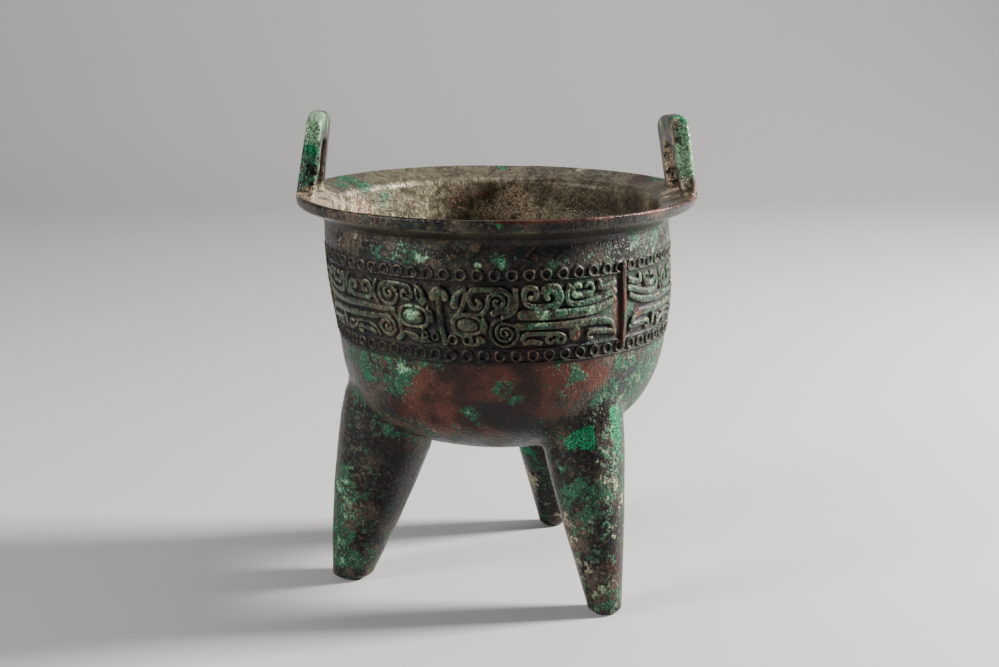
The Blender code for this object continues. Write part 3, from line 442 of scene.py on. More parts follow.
# studio: lamps as their place, size in metres, power and colour, then the floor and the camera
LAMPS = {
    "key": ((1.12, 0.16, 0.64), 0.24, 84, (1.0, 0.97, 0.93)),
    "fill": ((-1.10, -0.55, 0.52), 0.34, 22, (1.0, 0.97, 0.95)),
    "top": ((0.1, 0.1, 1.4), 0.7, 5, (0.97, 0.98, 1.0)),
}
LAMP_TARGET = (0, 0, 0.11)
SKY_COLOUR = (0.80, 0.83, 0.87, 1)
SKY_STRENGTH = 0.05
FLOOR_TONES = ((0.38, 0.38, 0.39, 1), (0.44, 0.44, 0.44, 1))
FLOOR_HALF_WIDTH = 3.0
FLOOR_FRONT = -1.6
FLOOR_BACK = 1.1
FLOOR_BEND = 0.6
FLOOR_TOP = 2.4
CAMERA_PLACE = (0.0012, -0.67584, 0.26430)
CAMERA_PITCH = 0.228
CAMERA_ROLL = -0.006
CAMERA_LENS = 57.658


def smooth_curve(points, step):
    """Catmull-Rom curve through a few control points, sampled about every step."""
    p = np.array(points, float)
    p = np.vstack([2 * p[0] - p[1], p, 2 * p[-1] - p[-2]])
    spans = []
    for i in range(1, len(p) - 2):
        a, b, c, d = p[i - 1], p[i], p[i + 1], p[i + 2]
        count = max(2, int(np.hypot(*(c - b)[:2]) / step))
        t = (np.arange(count) / count)[:, None]
        cubic = (3 * b - a - 3 * c + d) * t ** 3
        spans.append(0.5 * (2 * b + (c - a) * t + (2 * a - 5 * b + 4 * c - d) * t ** 2 + cubic))
    spans.append(p[-2:-1])
    return np.vstack(spans)


def filleted(points, radii, arc_step):
    """A polyline whose inner corners are rounded to the radii given for them."""
    p = [np.array(q, float) for q in points]
    out = [p[0]]
    for k in range(1, len(p) - 1):
        a, b, c = p[k - 1], p[k], p[k + 1]
        u = (a - b) / np.hypot(*(a - b))
        v = (c - b) / np.hypot(*(c - b))
        half = math.acos(max(-1.0, min(1.0, float(u @ v)))) / 2
        reach = min(radii[k - 1] / math.tan(half), np.hypot(*(a - b)) / 2, np.hypot(*(c - b)) / 2)
        radius = reach * math.tan(half)
        middle = b + (u + v) / np.hypot(*(u + v)) * radius / math.sin(half)
        start, end = b + u * reach, b + v * reach
        a0 = math.atan2(*(start - middle)[::-1])
        a1 = math.atan2(*(end - middle)[::-1])
        turn = (a1 - a0 + math.pi) % (2 * math.pi) - math.pi
        count = max(2, math.ceil(abs(turn) * radius / arc_step))
        for i in range(count + 1):
            t = a0 + turn * i / count
            out.append(middle + radius * np.array([math.cos(t), math.sin(t)]))
    out.append(p[-1])
    return np.array(out)


def spaced(line, step):
    """The same polyline with no gap between points longer than step."""
    out = [line[0]]
    for a, b in zip(line, line[1:]):
        count = max(1, math.ceil(np.hypot(*(b - a)) / step))
        out += [a + (b - a) * i / count for i in range(1, count + 1)]
    return np.array(out)


WALL_CURVE = smooth_curve(BOWL_PROFILE, 0.0005)


def outer_radius(height):
    return np.interp(height, WALL_CURVE[::-1, 1], WALL_CURVE[::-1, 0])


def out_of_true(points):
    """Shift points as the casting is out of true: its wall sways and its rim tilts."""
    p = np.array(points, float)
    heights, shifts = np.array(SWAY).T
    k = np.clip(np.searchsorted(heights, p[:, 2]) - 1, 0, len(SWAY) - 2)
    t = np.clip((p[:, 2] - heights[k]) / (heights[k + 1] - heights[k]), 0, 1)
    p[:, 0] += shifts[k] + (shifts[k + 1] - shifts[k]) * (1 - np.cos(np.pi * t)) / 2
    p[:, 2] -= RIM_TILT * p[:, 0] * np.interp(p[:, 2], TILT_SPAN, (0.0, 1.0))
    return p


def mesh_object(name, verts, faces):
    mesh = bpy.data.meshes.new(name)
    mesh.from_pydata([tuple(v) for v in verts], [], faces)
    mesh.update()
    thing = bpy.data.objects.new(name, mesh)
    bpy.context.scene.collection.objects.link(thing)
    return thing


def start_bearing():
    return math.radians(NOSE_BEARING + WINDOW_START * 360 / MASKS / WINDOW_WIDTH)


def ring_faces(rings):
    """Faces between neighbouring rings of vertices; a ring of one vertex is a pole."""
    faces = []
    for low, high in zip(rings, rings[1:]):
        count = max(len(low), len(high))
        for k in range(count):
            n = (k + 1) % count
            corners = (low[k % len(low)], low[n % len(low)],
                       high[n % len(high)], high[k % len(high)])
            faces.append(tuple(dict.fromkeys(corners)))
    return faces


def turned(levels, columns, first, middle):
    """Closed solid of round level sections about a middle line, from a first bearing on; each
    level is a radius and a height, and one of no radius is a pole."""
    verts, rings = [], []
    for radius, height in levels:
        count = columns if radius > 0 else 1
        rings.append(list(range(len(verts), len(verts) + count)))
        for k in range(count):
            a = first + 2 * math.pi * k / columns
            verts.append(middle(height) + radius * np.array([math.sin(a), -math.cos(a), 0]))
    faces = ring_faces(rings)
    if len(rings[-1]) > 1:
        faces.append(tuple(rings[-1]))
    return verts, faces


def lathe(profile, columns):
    return turned(profile, columns, start_bearing(), lambda height: np.array([0, 0, height]))


def outside_line():
    """Half section of the outside, from the pole to the rim's foot."""
    low = [(0.0, BOWL_BOTTOM), *BOWL_PROFILE[::-1]]
    mirror = [(-BOWL_PROFILE[-1][0], BOWL_PROFILE[-1][1]), *low]
    curve = smooth_curve(mirror, OUTSIDE_STEP)
    start = int(np.argmin(np.abs(curve[:, 0]) + (curve[:, 1] > 0.1)))
    curve = curve[start:]
    curve[0] = (0.0, BOWL_BOTTOM)
    below = curve[curve[:, 1] < BAND[0] - 0.001]
    above = curve[curve[:, 1] > BAND[1] + 0.001]
    edge_low = (outer_radius(BAND[0]), BAND[0])
    edge_high = (outer_radius(BAND[1]), BAND[1])
    return np.vstack([below, [edge_low], [edge_high], above])


def rim_line():
    """Half section of the rim, from the neck round to the mouth, with worn edges."""
    neck = BOWL_PROFILE[0]
    corners = [
        neck,
        (neck[0] + RIM_ROOT_OUT, RIM_HEIGHT - RIM_ROOT_DROP),
        (RIM_RADIUS - RIM_FACE_TAPER, RIM_HEIGHT - RIM_FACE),
        (RIM_RADIUS, RIM_HEIGHT),
        (MOUTH_RADIUS, RIM_HEIGHT - MOUTH_DROP),
        (BOWL_PROFILE[1][0] - WALL, BOWL_PROFILE[1][1]),
    ]
    return spaced(filleted(corners, RIM_FILLETS, 0.0004), RIM_STEP)


def inside_line(extra=0.0):
    """Half section of the inside, from the mouth down to the pole."""
    levels = [(r - WALL + extra, z) for r, z in (BOWL_PROFILE[1], *BOWL_PROFILE[4:8])]
    levels += [(r - WALL + extra, z + FLOOR_WALL * 0.8 - extra) for r, z in BOWL_PROFILE[8:]]
    levels.append((0.0, BOWL_BOTTOM + FLOOR_WALL - extra))
    levels.append((-levels[-2][0], levels[-2][1]))
    curve = smooth_curve(levels, INSIDE_STEP)
    stop = int(np.argmin(np.abs(curve[:, 0])))
    curve = curve[:stop + 1]
    curve[-1] = (0.0, BOWL_BOTTOM + FLOOR_WALL - extra)
    return curve


def leg_middle(leg, height):
    bearing, foot_share, top_share = leg[:3]
    spread = NECK_RADIUS * (foot_share + (top_share - foot_share) * height / LEG_TOP)
    a = math.radians(bearing)
    return np.array([spread * math.sin(a), -spread * math.cos(a), height])


def leg_curve(leg):
    low_radius, top_radius, fuller = leg[3:]
    stations = [(low * low_radius + (top + full * fuller) * top_radius, height)
                for height, low, top, full in LEG_FORM]
    foot = filleted([(0.0, 0.0), *stations[:3]], FOOT_FILLETS, 0.0005)
    upper = smooth_curve(stations[1:], LEG_STEP)
    keep = upper[upper[:, 1] > foot[-2, 1] + 0.001]
    return np.vstack([foot[:-1], keep])


def cone(leg, stations, columns):
    return turned(stations, columns, math.radians(leg[0]), lambda height: leg_middle(leg, height))


def leg_hollow(leg):
    curve = leg_curve(leg)
    heights = np.linspace(LEG_HOLLOW_END + HOLLOW_DOME, LEG_HOLLOW_TOP, 24)
    inside = [(np.interp(z, curve[2:, 1], curve[2:, 0]) - LEG_WALL, z) for z in heights]
    dome = [(inside[0][0] * math.sin(a), heights[0] - HOLLOW_DOME * math.cos(a))
            for a in (0.4, 0.8, 1.2)]
    return cone(leg, [(0.0, LEG_HOLLOW_END), *dome, *inside], HOLLOW_COLUMNS)


def merged(parts):
    verts, faces = [], []
    for v, f in parts:
        base = len(verts)
        verts += [tuple(q) for q in v]
        faces += [tuple(base + i for i in face) for face in f]
    return verts, faces


def arch_line(half, rise, crown, slope, sink):
    """Middle or edge line of a handle: up one strut, over the crown and down the other."""
    points = [(half, half * slope - sink)]
    for k in range(15):
        a = math.pi * k / 14
        across = math.copysign(abs(math.cos(a)) ** CROWN_POWER, math.cos(a))
        points.append((half * across, rise - crown + crown * abs(math.sin(a)) ** CROWN_POWER))
    points.append((-half, -half * slope - sink))
    return np.array(points)


def handle_shape(bearing, inset_share, rise, lean, roll):
    """Loop swept between its outer and inner outlines, with rounded edges."""
    slope = math.tan(math.radians(roll))
    half = HANDLE_WIDTH / 2
    outer = arch_line(half, rise, HANDLE_CROWN, slope, HANDLE_SINK)
    inner = arch_line(half - HANDLE_BAR, rise - HANDLE_TOP_BAR, HANDLE_INNER_CROWN, slope,
                      HANDLE_SINK)
    outer, inner = even(outer, HANDLE_RINGS), even(inner, HANDLE_RINGS)
    verts = []
    for a, b in zip(outer, inner):
        middle, span = (a + b) / 2, (a - b) / 2
        length = np.hypot(*span)
        for s, t in rounded_section(length, HANDLE_THICK / 2, HANDLE_ROUND):
            x, y = middle + span / length * s
            verts.append((x, t, y))
    rings = np.arange(HANDLE_RINGS * HANDLE_COLUMNS).reshape(HANDLE_RINGS, -1).tolist()
    faces = ring_faces(rings) + [tuple(rings[0][::-1]), tuple(rings[-1])]
    inset = inset_share * (RIM_RADIUS - MOUTH_RADIUS)
    matrix = (Matrix.Rotation(math.radians(bearing), 4, "Z")
              @ Matrix.Translation((0, inset - RIM_RADIUS, RIM_HEIGHT))
              @ Matrix.Rotation(math.radians(-lean), 4, "X")
              @ Matrix.Rotation(math.radians(roll), 4, "Y"))
    return [tuple(matrix @ Vector(v)) for v in verts], faces


def even(line, count):
    run = np.r_[0, np.cumsum(np.hypot(*np.diff(line, axis=0).T))]
    at = np.linspace(0, run[-1], count)
    return np.stack([np.interp(at, run, line[:, 0]), np.interp(at, run, line[:, 1])], axis=1)


def rounded_section(half_wide, half_thick, radius):
    """Points around a rectangle with rounded corners, and some across its broad faces."""
    points = []
    for quarter, (sx, sy) in enumerate(((1, 1), (-1, 1), (-1, -1), (1, -1))):
        cx, cy = sx * (half_wide - radius), sy * (half_thick - radius)
        for k in range(CORNER_POINTS):
            a = math.pi / 2 * (quarter + k / (CORNER_POINTS - 1))
            points.append((cx + radius * math.cos(a), cy + radius * math.sin(a)))
        if quarter in (0, 2):
            points += [(cx * (1 - 2 * k / (FACE_POINTS + 1)), sy * half_thick)
                       for k in range(1, FACE_POINTS + 1)]
    return points


def apply_modifiers(body):
    graph = bpy.context.evaluated_depsgraph_get()
    mesh = bpy.data.meshes.new_from_object(body.evaluated_get(graph))
    body.modifiers.clear()
    old, body.data = body.data, mesh
    bpy.data.meshes.remove(old)


def boolean(body, tool, operation):
    step = body.modifiers.new(operation.lower(), "BOOLEAN")
    step.object = tool
    step.operation = operation
    step.solver = "EXACT"
    apply_modifiers(body)
    bpy.data.objects.remove(tool, do_unlink=True)


def face_outwards(thing):
    bm = bmesh.new()
    bm.from_mesh(thing.data)
    bmesh.ops.recalc_face_normals(bm, faces=bm.faces)
    bm.to_mesh(thing.data)
    bm.free()


def plain_body():
    """The casting without its frieze, closed, with the frieze's band as one row of faces."""
    rim = rim_line()
    line = np.vstack([outside_line()[:-1], rim[:-1], inside_line()])
    body = mesh_object("vessel_bronze", *lathe(line, COLUMNS))
    top = [(0.0, POCKET_TOP), (MOUTH_RADIUS, POCKET_TOP)]
    pocket = np.vstack([top, inside_line(POCKET_MARGIN)])
    legs = mesh_object("legs", *merged([cone(leg, leg_curve(leg), LEG_COLUMNS) for leg in LEGS]))
    inner = mesh_object("inner", *lathe(pocket, POCKET_COLUMNS))
    hollows = mesh_object("hollows", *merged([leg_hollow(leg) for leg in LEGS]))
    handles = mesh_object("handles", *merged([handle_shape(*h) for h in HANDLES]))
    for thing in (legs, inner, hollows, handles):
        face_outwards(thing)
    boolean(legs, inner, "DIFFERENCE")
    boolean(body, legs, "UNION")
    boolean(body, hollows, "DIFFERENCE")
    boolean(body, handles, "UNION")
    return body


def ring_of(points, height, radius):
    """Indices of the vertices on one ring of the lathe, in order of bearing."""
    near = np.abs(points[:, 2] - height) < TINY
    near &= np.abs(np.hypot(points[:, 0], points[:, 1]) - radius) < TINY
    found = np.flatnonzero(near)
    bearing = np.arctan2(points[found, 0], -points[found, 1])
    turn = (bearing - start_bearing() + 1e-4) % (2 * math.pi)
    return found[np.argsort(turn)]


def add_band(body, frieze):
    """Swap the plain band of the wall for a fine one that carries the frieze."""
    mesh = body.data
    points = get_points(mesh)
    low = ring_of(points, BAND[0], outer_radius(BAND[0]))
    high = ring_of(points, BAND[1], outer_radius(BAND[1]))
    if not len(low) == len(high) == COLUMNS:
        raise ValueError(f"rings have {len(low)} and {len(high)} points")
    lows, highs = set(low.tolist()), set(high.tolist())
    both = lows | highs
    faces = [set(p.vertices) for p in mesh.polygons]
    kept = [tuple(p.vertices) for p, face in zip(mesh.polygons, faces)
            if not (face <= both and face & lows and face & highs)]

    columns = COLUMNS * FINE_PER_COLUMN
    heights = np.linspace(BAND[0] + 0.0005, BAND[1] - 0.0005, FINE_ROWS)
    turn = start_bearing() + 2 * math.pi * np.arange(columns) / columns
    grid_turn, grid_z = np.meshgrid(turn, heights)
    lift = frieze.at(0, drawing_u(grid_turn), grid_z / MM)
    off = (np.degrees(grid_turn) + 180 - WORN_BEARING) % 360 - 180
    lift *= 1 - WORN_SHARE * np.exp(-(off / WORN_SPREAD) ** 2)
    radius = outer_radius(heights)[:, None] + lift * MM
    fine = np.stack([radius * np.sin(turn), -radius * np.cos(turn),
                     np.repeat(heights[:, None], columns, axis=1)], axis=2).reshape(-1, 3)
    index = len(points) + np.arange(FINE_ROWS * columns).reshape(FINE_ROWS, columns)
    a, b = index[:-1], index[1:]
    a1, b1 = np.roll(a, -1, axis=1), np.roll(b, -1, axis=1)
    kept += [tuple(q) for q in np.stack([a, a1, b1, b], axis=2).reshape(-1, 4).tolist()]
    half = FINE_PER_COLUMN // 2
    for k in range(COLUMNS):
        n = (k + 1) % COLUMNS
        span = (k * FINE_PER_COLUMN + np.arange(FINE_PER_COLUMN + 1)) % columns
        foot, head = index[0][span], index[-1][span]
        for j in range(FINE_PER_COLUMN):
            kept.append((low[k] if j < half else low[n], foot[j + 1], foot[j]))
            kept.append((head[j], head[j + 1], high[k] if j < half else high[n]))
        kept.append((low[k], low[n], foot[half]))
        kept.append((head[half], high[n], high[k]))
    bpy.data.objects.remove(body, do_unlink=True)
    whole = np.vstack([points, fine])
    thing = mesh_object("vessel_bronze", whole, [tuple(int(v) for v in f) for f in kept])
    return thing, (len(points) + columns, len(whole) - columns)


# Pattern of one mask, in millimetres of the unrolled wall: u is the distance around from the
# nose and z the height. A stroke is its width at each end and the points along its middle.

def curl(cu, cz, r0, r1, a0, a1):
    """Points along an arc or spiral about (cu, cz), from angle a0 to a1 in degrees."""
    steps = max(3, int(abs(a1 - a0) / 30))
    points = []
    for i in range(steps + 1):
        t = i / steps
        a = math.radians(a0 + (a1 - a0) * t)
        r = r0 + (r1 - r0) * t
        points.append((cu + r * math.cos(a), cz + r * math.sin(a)))
    return points


def tail_strokes():
    return [
        (1.8, 2.5, [(51.4, 141.8), (50.2, 138.6), (51.4, 135.3), (55.4, 134.6), (62, 135.3),
                    (67, 136.5), (72.4, 138)]),
        (1.7, 2.4, curl(54.8, 140.1, 1.9, 2.2, 50, 260) + [(57.5, 138.1), (60.4, 138.4)]),
        (1.3, 1.4, curl(60.2, 140.5, 1.9, 1.7, 150, -70)),
        (2.0, 2.4, [(65.0, 142.2), (65.2, 140.3), (68, 140.1), (72.4, 141.3)]),
        (2.1, 1.3, [(72, 121.7), (66, 122.2), (60.8, 122.7)]
         + curl(60.0, 121.2, 1.7, 1.2, 120, 300)),
    ]


def right_strokes():
    horn = curl(14.3, 136.3, 1.1, 2.5, 60, -180) + curl(14.3, 136.6, 2.9, 5.0, -195, -265)
    horn += [(18.5, 141.6), (22.5, 141.6)] + curl(23.8, 137.2, 4.2, 3.9, 75, -95) + [(20.6, 132.3)]
    scroll = curl(35.9, 139.7, 1.6, 3.0, -110, 180) + [(33.2, 136.8), (35.2, 135.0), (39.0, 134.6)]
    scroll += curl(43.3, 138.4, 3.7, 1.3, -100, 215)
    haunch = [(30, 126.9)] + curl(24.6, 124.2, 4.1, 0.5, 80, 790)
    return tail_strokes() + [
        (0.9, 3.2, [(10.2, 141.8), (6.6, 139.4), (5.4, 135.4)]),
        (1.4, 1.6, [(10.4, 140.9), (9.2, 136.6), (6.9, 131.8)]),
        (1.6, 2.2, horn),
        (1.3, 1.3, [(16.0, 131.9), (18.1, 134.6)] + curl(22.4, 136.8, 3.6, 0.6, 168, -250)),
        (1.8, 1.8, [(29.7, 141.4), (29.6, 136.4), (28.3, 132.9), (24.6, 131.1)]),
        (1.9, 1.9, scroll),
        (1.5, 1.8, curl(43.8, 138.6, 4.1, 4.3, 155, -50) + [(44.4, 133.0)]),
        (3.8, 3.9, [(31.8, 131.4), (40, 131.2), (52, 131.1)]),
        (3.9, 2.2, [(52, 131.1), (62, 131.6), (68, 133.0), (72.2, 135.0)]),
        (2.7, 2.9, [(30, 126.9), (44, 126.7), (60, 126.8), (67, 126.7)]),
        (2.9, 1.2, [(67, 126.7), (70.4, 125.4), (71.9, 122.4), (72.3, 120.4)]),
        (1.15, 0.9, haunch),
        (1.0, 1.0, [(23.8, 130.2), (20.6, 128.6)] + curl(24.4, 124.3, 5.8, 5.1, 165, 375)),
        (1.7, 1.4, [(31.0, 121.6), (33.0, 123.5), (40, 123.6), (46, 123.2)]
         + curl(46.4, 121.1, 2.1, 0.9, 20, -240)),
        (1.1, 1.1, curl(42.4, 120.9, 1.5, 1.2, 70, 350)),
        (2.0, 2.0, [(32.1, 120.1), (35, 120.5), (38.0, 119.9)]),
        (4.6, 4.6, [(52.8, 125.0), (52.9, 122.0)]),
        (1.2, 1.2, [(5.6, 131.2), (3.7, 128.4), (4.2, 124.8), (6.6, 123.2), (10.4, 122.9)]),
        (0.9, 0.9, curl(3.3, 121.2, 1.7, 1.7, 0, 360)),
        (1.0, 1.2, [(7.4, 122.6), (8.2, 119.8), (11, 119.3), (13.4, 119.5)]),
        (1.5, 1.3, [(10.6, 122.6), (10.8, 120.6)]),
        (3.0, 3.0, [(14.3, 121.3), (14.8, 121.3)]),
        (0.9, 0.9, [(8.2, 132.0), (13.4, 131.9), (16.0, 131.9)]),
        (1.4, 0.9, [(16.4, 129.6), (17.3, 127.2), (16.4, 124.6)]),
    ]


def left_strokes():
    tail = [(w0, w1, [(-(u * 0.92 + 6.2), z) for u, z in points])
            for w0, w1, points in tail_strokes()]
    scroll = curl(-36.2, 138.6, 1.2, 3.0, 290, 0) + [(-33.2, 136.2), (-35.4, 134.9), (-39, 134.5)]
    scroll += curl(-44.3, 138.2, 3.6, 1.0, 280, -35)
    haunch = [(-33, 127.4)] + curl(-26.2, 124.4, 3.9, 3.8, 100, -180)
    haunch += curl(-26.5, 124.0, 3.2, 0.5, -190, -540)
    return tail + [
        (1.0, 2.7, [(-10.4, 142.1), (-8.3, 140.6), (-7.2, 136.6)]),
        (1.1, 1.1, [(-10.4, 140.4), (-9.9, 137.4), (-7.9, 134.8)]),
        (1.9, 1.2, [(-25, 142.0), (-19.5, 142.1)] + curl(-15.3, 138.4, 3.4, 0.9, 75, -300)),
        (1.7, 1.0, curl(-23.9, 137.9, 4.2, 4.7, 95, 340) + [(-19.0, 138.0)]),
        (1.3, 1.4, [(-19.6, 139.3)] + curl(-23.4, 138.0, 3.0, 0.7, 45, 400)),
        (1.2, 1.2, [(-29.7, 142.3), (-31.1, 139.6), (-31.1, 135.6), (-29.2, 132.6)]),
        (1.8, 1.8, scroll),
        (1.2, 1.2, curl(-44.6, 138.2, 5.5, 5.3, 125, 225)),
        (1.6, 3.0, [(-21.4, 131.4), (-30, 131.2), (-40, 131.3), (-52, 131.2)]),
        (3.0, 2.0, [(-52, 131.2), (-62, 131.6), (-68, 133), (-72.4, 135)]),
        (2.2, 2.6, [(-33, 127.4), (-44, 127.0), (-60, 126.8), (-67, 126.7)]),
        (2.6, 1.2, [(-67, 126.7), (-70.4, 125.4), (-71.9, 122.4), (-72.3, 120.4)]),
        (1.6, 1.2, haunch),
        (1.3, 2.2, [(-22.4, 130.2), (-20.1, 127.6), (-19.4, 124), (-19.4, 121.4), (-21.4, 119.8)]),
        (1.1, 1.2, [(-31.4, 119.8), (-33.0, 122.3), (-36.4, 123.9), (-41.5, 124.3), (-46, 123.4)]),
        (1.7, 1.3, [(-34.6, 120.2), (-37, 121.4), (-41.4, 121.6)]
         + curl(-43.4, 120.4, 1.5, 1.2, 60, 270)),
        (1.3, 1.3, [(-46.8, 121.6)] + curl(-50, 121.6, 2.6, 1.3, 230, 60)),
        (2.4, 2.4, [(-56, 125), (-56.2, 121.6)]),
        (1.0, 3.2, [(-17.4, 122.9), (-15.4, 122.0), (-13.4, 121.3)]),
        (3.2, 1.0, [(-13.4, 121.3), (-10.4, 120.0), (-6.9, 119.9)]),
        (0.9, 0.9, curl(-8.5, 122.2, 1.2, 1.2, 0, 360)),
        (1.0, 1.0, curl(-4.1, 122.0, 1.4, 1.4, 0, 360)),
        (1.2, 1.2, [(-9.2, 125.2), (-8.8, 124.2)]),
        (1.0, 1.8, [(-5.9, 133.3), (-4.4, 131.2), (-4.5, 128.4)]),
    ]


NOSE_STROKES = [
    (2.5, 2.5, curl(-0.6, 138.6, 2.6, 2.6, 195, -15)),
    (1.9, 2.4, [(-0.7, 140.2), (-1.0, 128), (0.1, 120.0)]),
]
SEAM_STROKE = (2.0, 2.0, [(77.7, 148.4), (77.6, 132.0), (77.2, 114.6)])

# centre, half width and half height of each eye, then of the lid around it
EYES = (
    ((9.9, 127.4), (4.2, 2.5), (5.6, 3.6)),
    ((-12.6, 129.6), (4.5, 2.9), (6.3, 4.2)),
)


def rounded_step(dist, soft):
    """1 well inside a band, 0 outside it, with a rounded shoulder and foot."""
    t = np.clip(0.5 - dist / soft, 0, 1)
    return t * t * (3 - 2 * t)


def oval_reach(u, z, centre, half):
    du = np.abs(u - centre[0]) / half[0]
    dz = np.abs(z - centre[1]) / half[1]
    return ((du ** OVAL_POWER + dz ** OVAL_POWER) ** (1 / OVAL_POWER) - 1) * min(half)


def relief(u, z):
    """Height of the frieze in mm, where it is raised, and how near a raised edge is."""
    lift = np.zeros(u.shape)
    best = np.full(u.shape, FAR)
    strokes = [(s, RELIEF) for s in right_strokes() + left_strokes()]
    strokes += [(s, NOSE_RISE) for s in NOSE_STROKES] + [(SEAM_STROKE, SEAM_RISE)]
    for (w0, w1, points), height in strokes:
        middle = smooth_curve(points, 0.3)
        run = np.r_[0, np.cumsum(np.hypot(*np.diff(middle, axis=0).T))]
        halves = (w0 + (w1 - w0) * run / run[-1]) / 2 + STROKE_GAIN
        own = np.full(u.shape, FAR)
        for (cu, cz), half in zip(middle, halves):
            cols = np.flatnonzero(np.abs(u[0] - cu) < half + 2.0)
            rows = np.flatnonzero(np.abs(z[:, 0] - cz) < half + 2.0)
            patch = np.ix_(rows, cols)
            dist = np.hypot(u[patch] - cu, z[patch] - cz) - half
            own[patch] = np.minimum(own[patch], dist)
        crown = 1 + STROKE_CROWN * np.clip(-own / 1.5, 0, 1)
        lift = np.maximum(lift, height * crown * rounded_step(own, EDGE_SOFT))
        best = np.minimum(best, own)
    for centre, ball, lid in EYES:
        ring = np.abs(oval_reach(u, z, centre, lid)) - LID_WIDTH / 2
        lift = np.maximum(lift, RELIEF * rounded_step(ring, EDGE_SOFT))
        eye = oval_reach(u, z, centre, ball)
        dome = np.sqrt(np.clip(-eye / min(ball), 0, 1))
        swell = NOSE_RISE + (EYE_RISE - NOSE_RISE) * dome
        lift = np.maximum(lift, swell * rounded_step(eye, EDGE_SOFT * 1.2))
        best = np.minimum(best, np.minimum(ring, eye))
    for height, rise in LINES:
        dist = np.abs(z - height) - LINE_HALF
        lift = np.maximum(lift, rise * rounded_step(dist, LINE_SOFT))
        best = np.minimum(best, dist)
    beside = np.abs(u - SEAM_GROOVE) - GROOVE_HALF
    groove = rounded_step(beside, GROOVE_SOFT) * (z > LINES[1][0]) * (z < LINES[0][0])
    lift *= 1 - groove
    pitch = WINDOW_WIDTH / CIRCLETS_PER_MASK
    across = (u - WINDOW_START) % pitch - pitch / 2
    for height in CIRCLET_ROWS:
        dist = np.abs(np.hypot(across, z - height) - CIRCLET_MIDDLE) - CIRCLET_HALF
        lift = np.maximum(lift, CIRCLET_RISE * rounded_step(dist, CIRCLET_SOFT))
        best = np.minimum(best, dist)
    top = rounded_step(best, EDGE_SOFT)
    top[np.abs(z - (CIRCLET_ROWS[0] + CIRCLET_ROWS[1]) / 2) > 13.0] *= CIRCLET_GREEN
    near = np.maximum(np.clip(1.35 - best / 0.85, 0, 1) * (1 - top), groove)
    return lift, top, near


def drawing_u(turn):
    """Distance in mm around the wall from a mask's nose, for a bearing in radians."""
    part = 2 * math.pi / MASKS
    return WINDOW_START + (turn - start_bearing()) % part / part * WINDOW_WIDTH


class Frieze:
    """The frieze's height, raised share and edge nearness, drawn once on a fine grid."""

    def __init__(self):
        u = WINDOW_START + WINDOW_WIDTH * np.arange(FIELD_COLUMNS) / FIELD_COLUMNS
        self.low = BAND[0] / MM
        z = np.arange(self.low, BAND[1] / MM + FIELD_STEP, FIELD_STEP)
        self.layers = relief(*np.meshgrid(u, z))
        self.rows = len(z)

    def at(self, layer, u, z):
        """One layer between its grid points; around the wall it repeats for each mask."""
        grid = self.layers[layer]
        x = (u - WINDOW_START) / WINDOW_WIDTH * FIELD_COLUMNS
        y = np.clip((z - self.low) / FIELD_STEP, 0, self.rows - 1.001)
        i, j = np.floor(x).astype(int), np.floor(y).astype(int)
        s, t = x - i, y - j
        i0, i1 = i % FIELD_COLUMNS, (i + 1) % FIELD_COLUMNS
        low = grid[j, i0] * (1 - s) + grid[j, i1] * s
        high = grid[j + 1, i0] * (1 - s) + grid[j + 1, i1] * s
        return low * (1 - t) + high * t


def get_points(mesh, what="co"):
    out = np.empty(len(mesh.vertices) * 3)
    mesh.vertices.foreach_get(what, out)
    return out.reshape(-1, 3)


def set_points(mesh, points):
    mesh.vertices.foreach_set("co", points.ravel())
    mesh.update()


def edge_ends(mesh):
    ends = np.empty(len(mesh.edges) * 2, dtype=int)
    mesh.edges.foreach_get("vertices", ends)
    return ends.reshape(-1, 2).T


def mean_at_ends(ends, at_first, at_second):
    """Mean at each vertex of what its edges bring to their first and second ends."""
    total = np.zeros((ends.max() + 1, *at_first.shape[1:]))
    np.add.at(total, ends[0], at_first)
    np.add.at(total, ends[1], at_second)
    return (total.T / np.bincount(ends.ravel())).T


def neighbour_mean(mesh, values):
    """Mean of a value over each vertex's neighbours."""
    a, b = ends = edge_ends(mesh)
    return mean_at_ends(ends, values[b], values[a])


def thin_out(body, span):
    """Collapse the flattest parts of the frieze until the casting is light enough."""
    group = body.vertex_groups.new(name="band")
    group.add(list(range(*span)), 1.0, "REPLACE")
    triangles = sum(len(p.vertices) - 2 for p in body.data.polygons)
    step = body.modifiers.new("thin_out", "DECIMATE")
    step.ratio = MOST_TRIANGLES / triangles
    step.vertex_group = group.name
    step.vertex_group_factor = 1.0
    apply_modifiers(body)
    body.vertex_groups.clear()


def creases(body):
    """Points on the sharp joints of the legs, the leg hollows and the handles."""
    bm = bmesh.new()
    bm.from_mesh(body.data)
    found = {"leg": [], "hollow": [], "handle": []}
    for edge in bm.edges:
        if len(edge.link_faces) != 2 or edge.calc_face_angle() < CREASE_ANGLE:
            continue
        p = (edge.verts[0].co + edge.verts[1].co) / 2
        low, high = HANDLE_JOINT_HEIGHTS
        at_handle = abs(p.x) > HANDLE_JOINT_OUT and abs(p.y) < HANDLE_JOINT_ASIDE
        if low < p.z < high and at_handle:
            found["handle"].append(p)
        elif LEG_JOINT_HEIGHTS[0] < p.z < LEG_JOINT_HEIGHTS[1]:
            deep = math.hypot(p.x, p.y) < outer_radius(p.z) - 0.0022
            inside = deep and p.z > BOWL_BOTTOM + 0.003
            found["hollow" if inside else "leg"].append(p)
    bm.free()
    return found


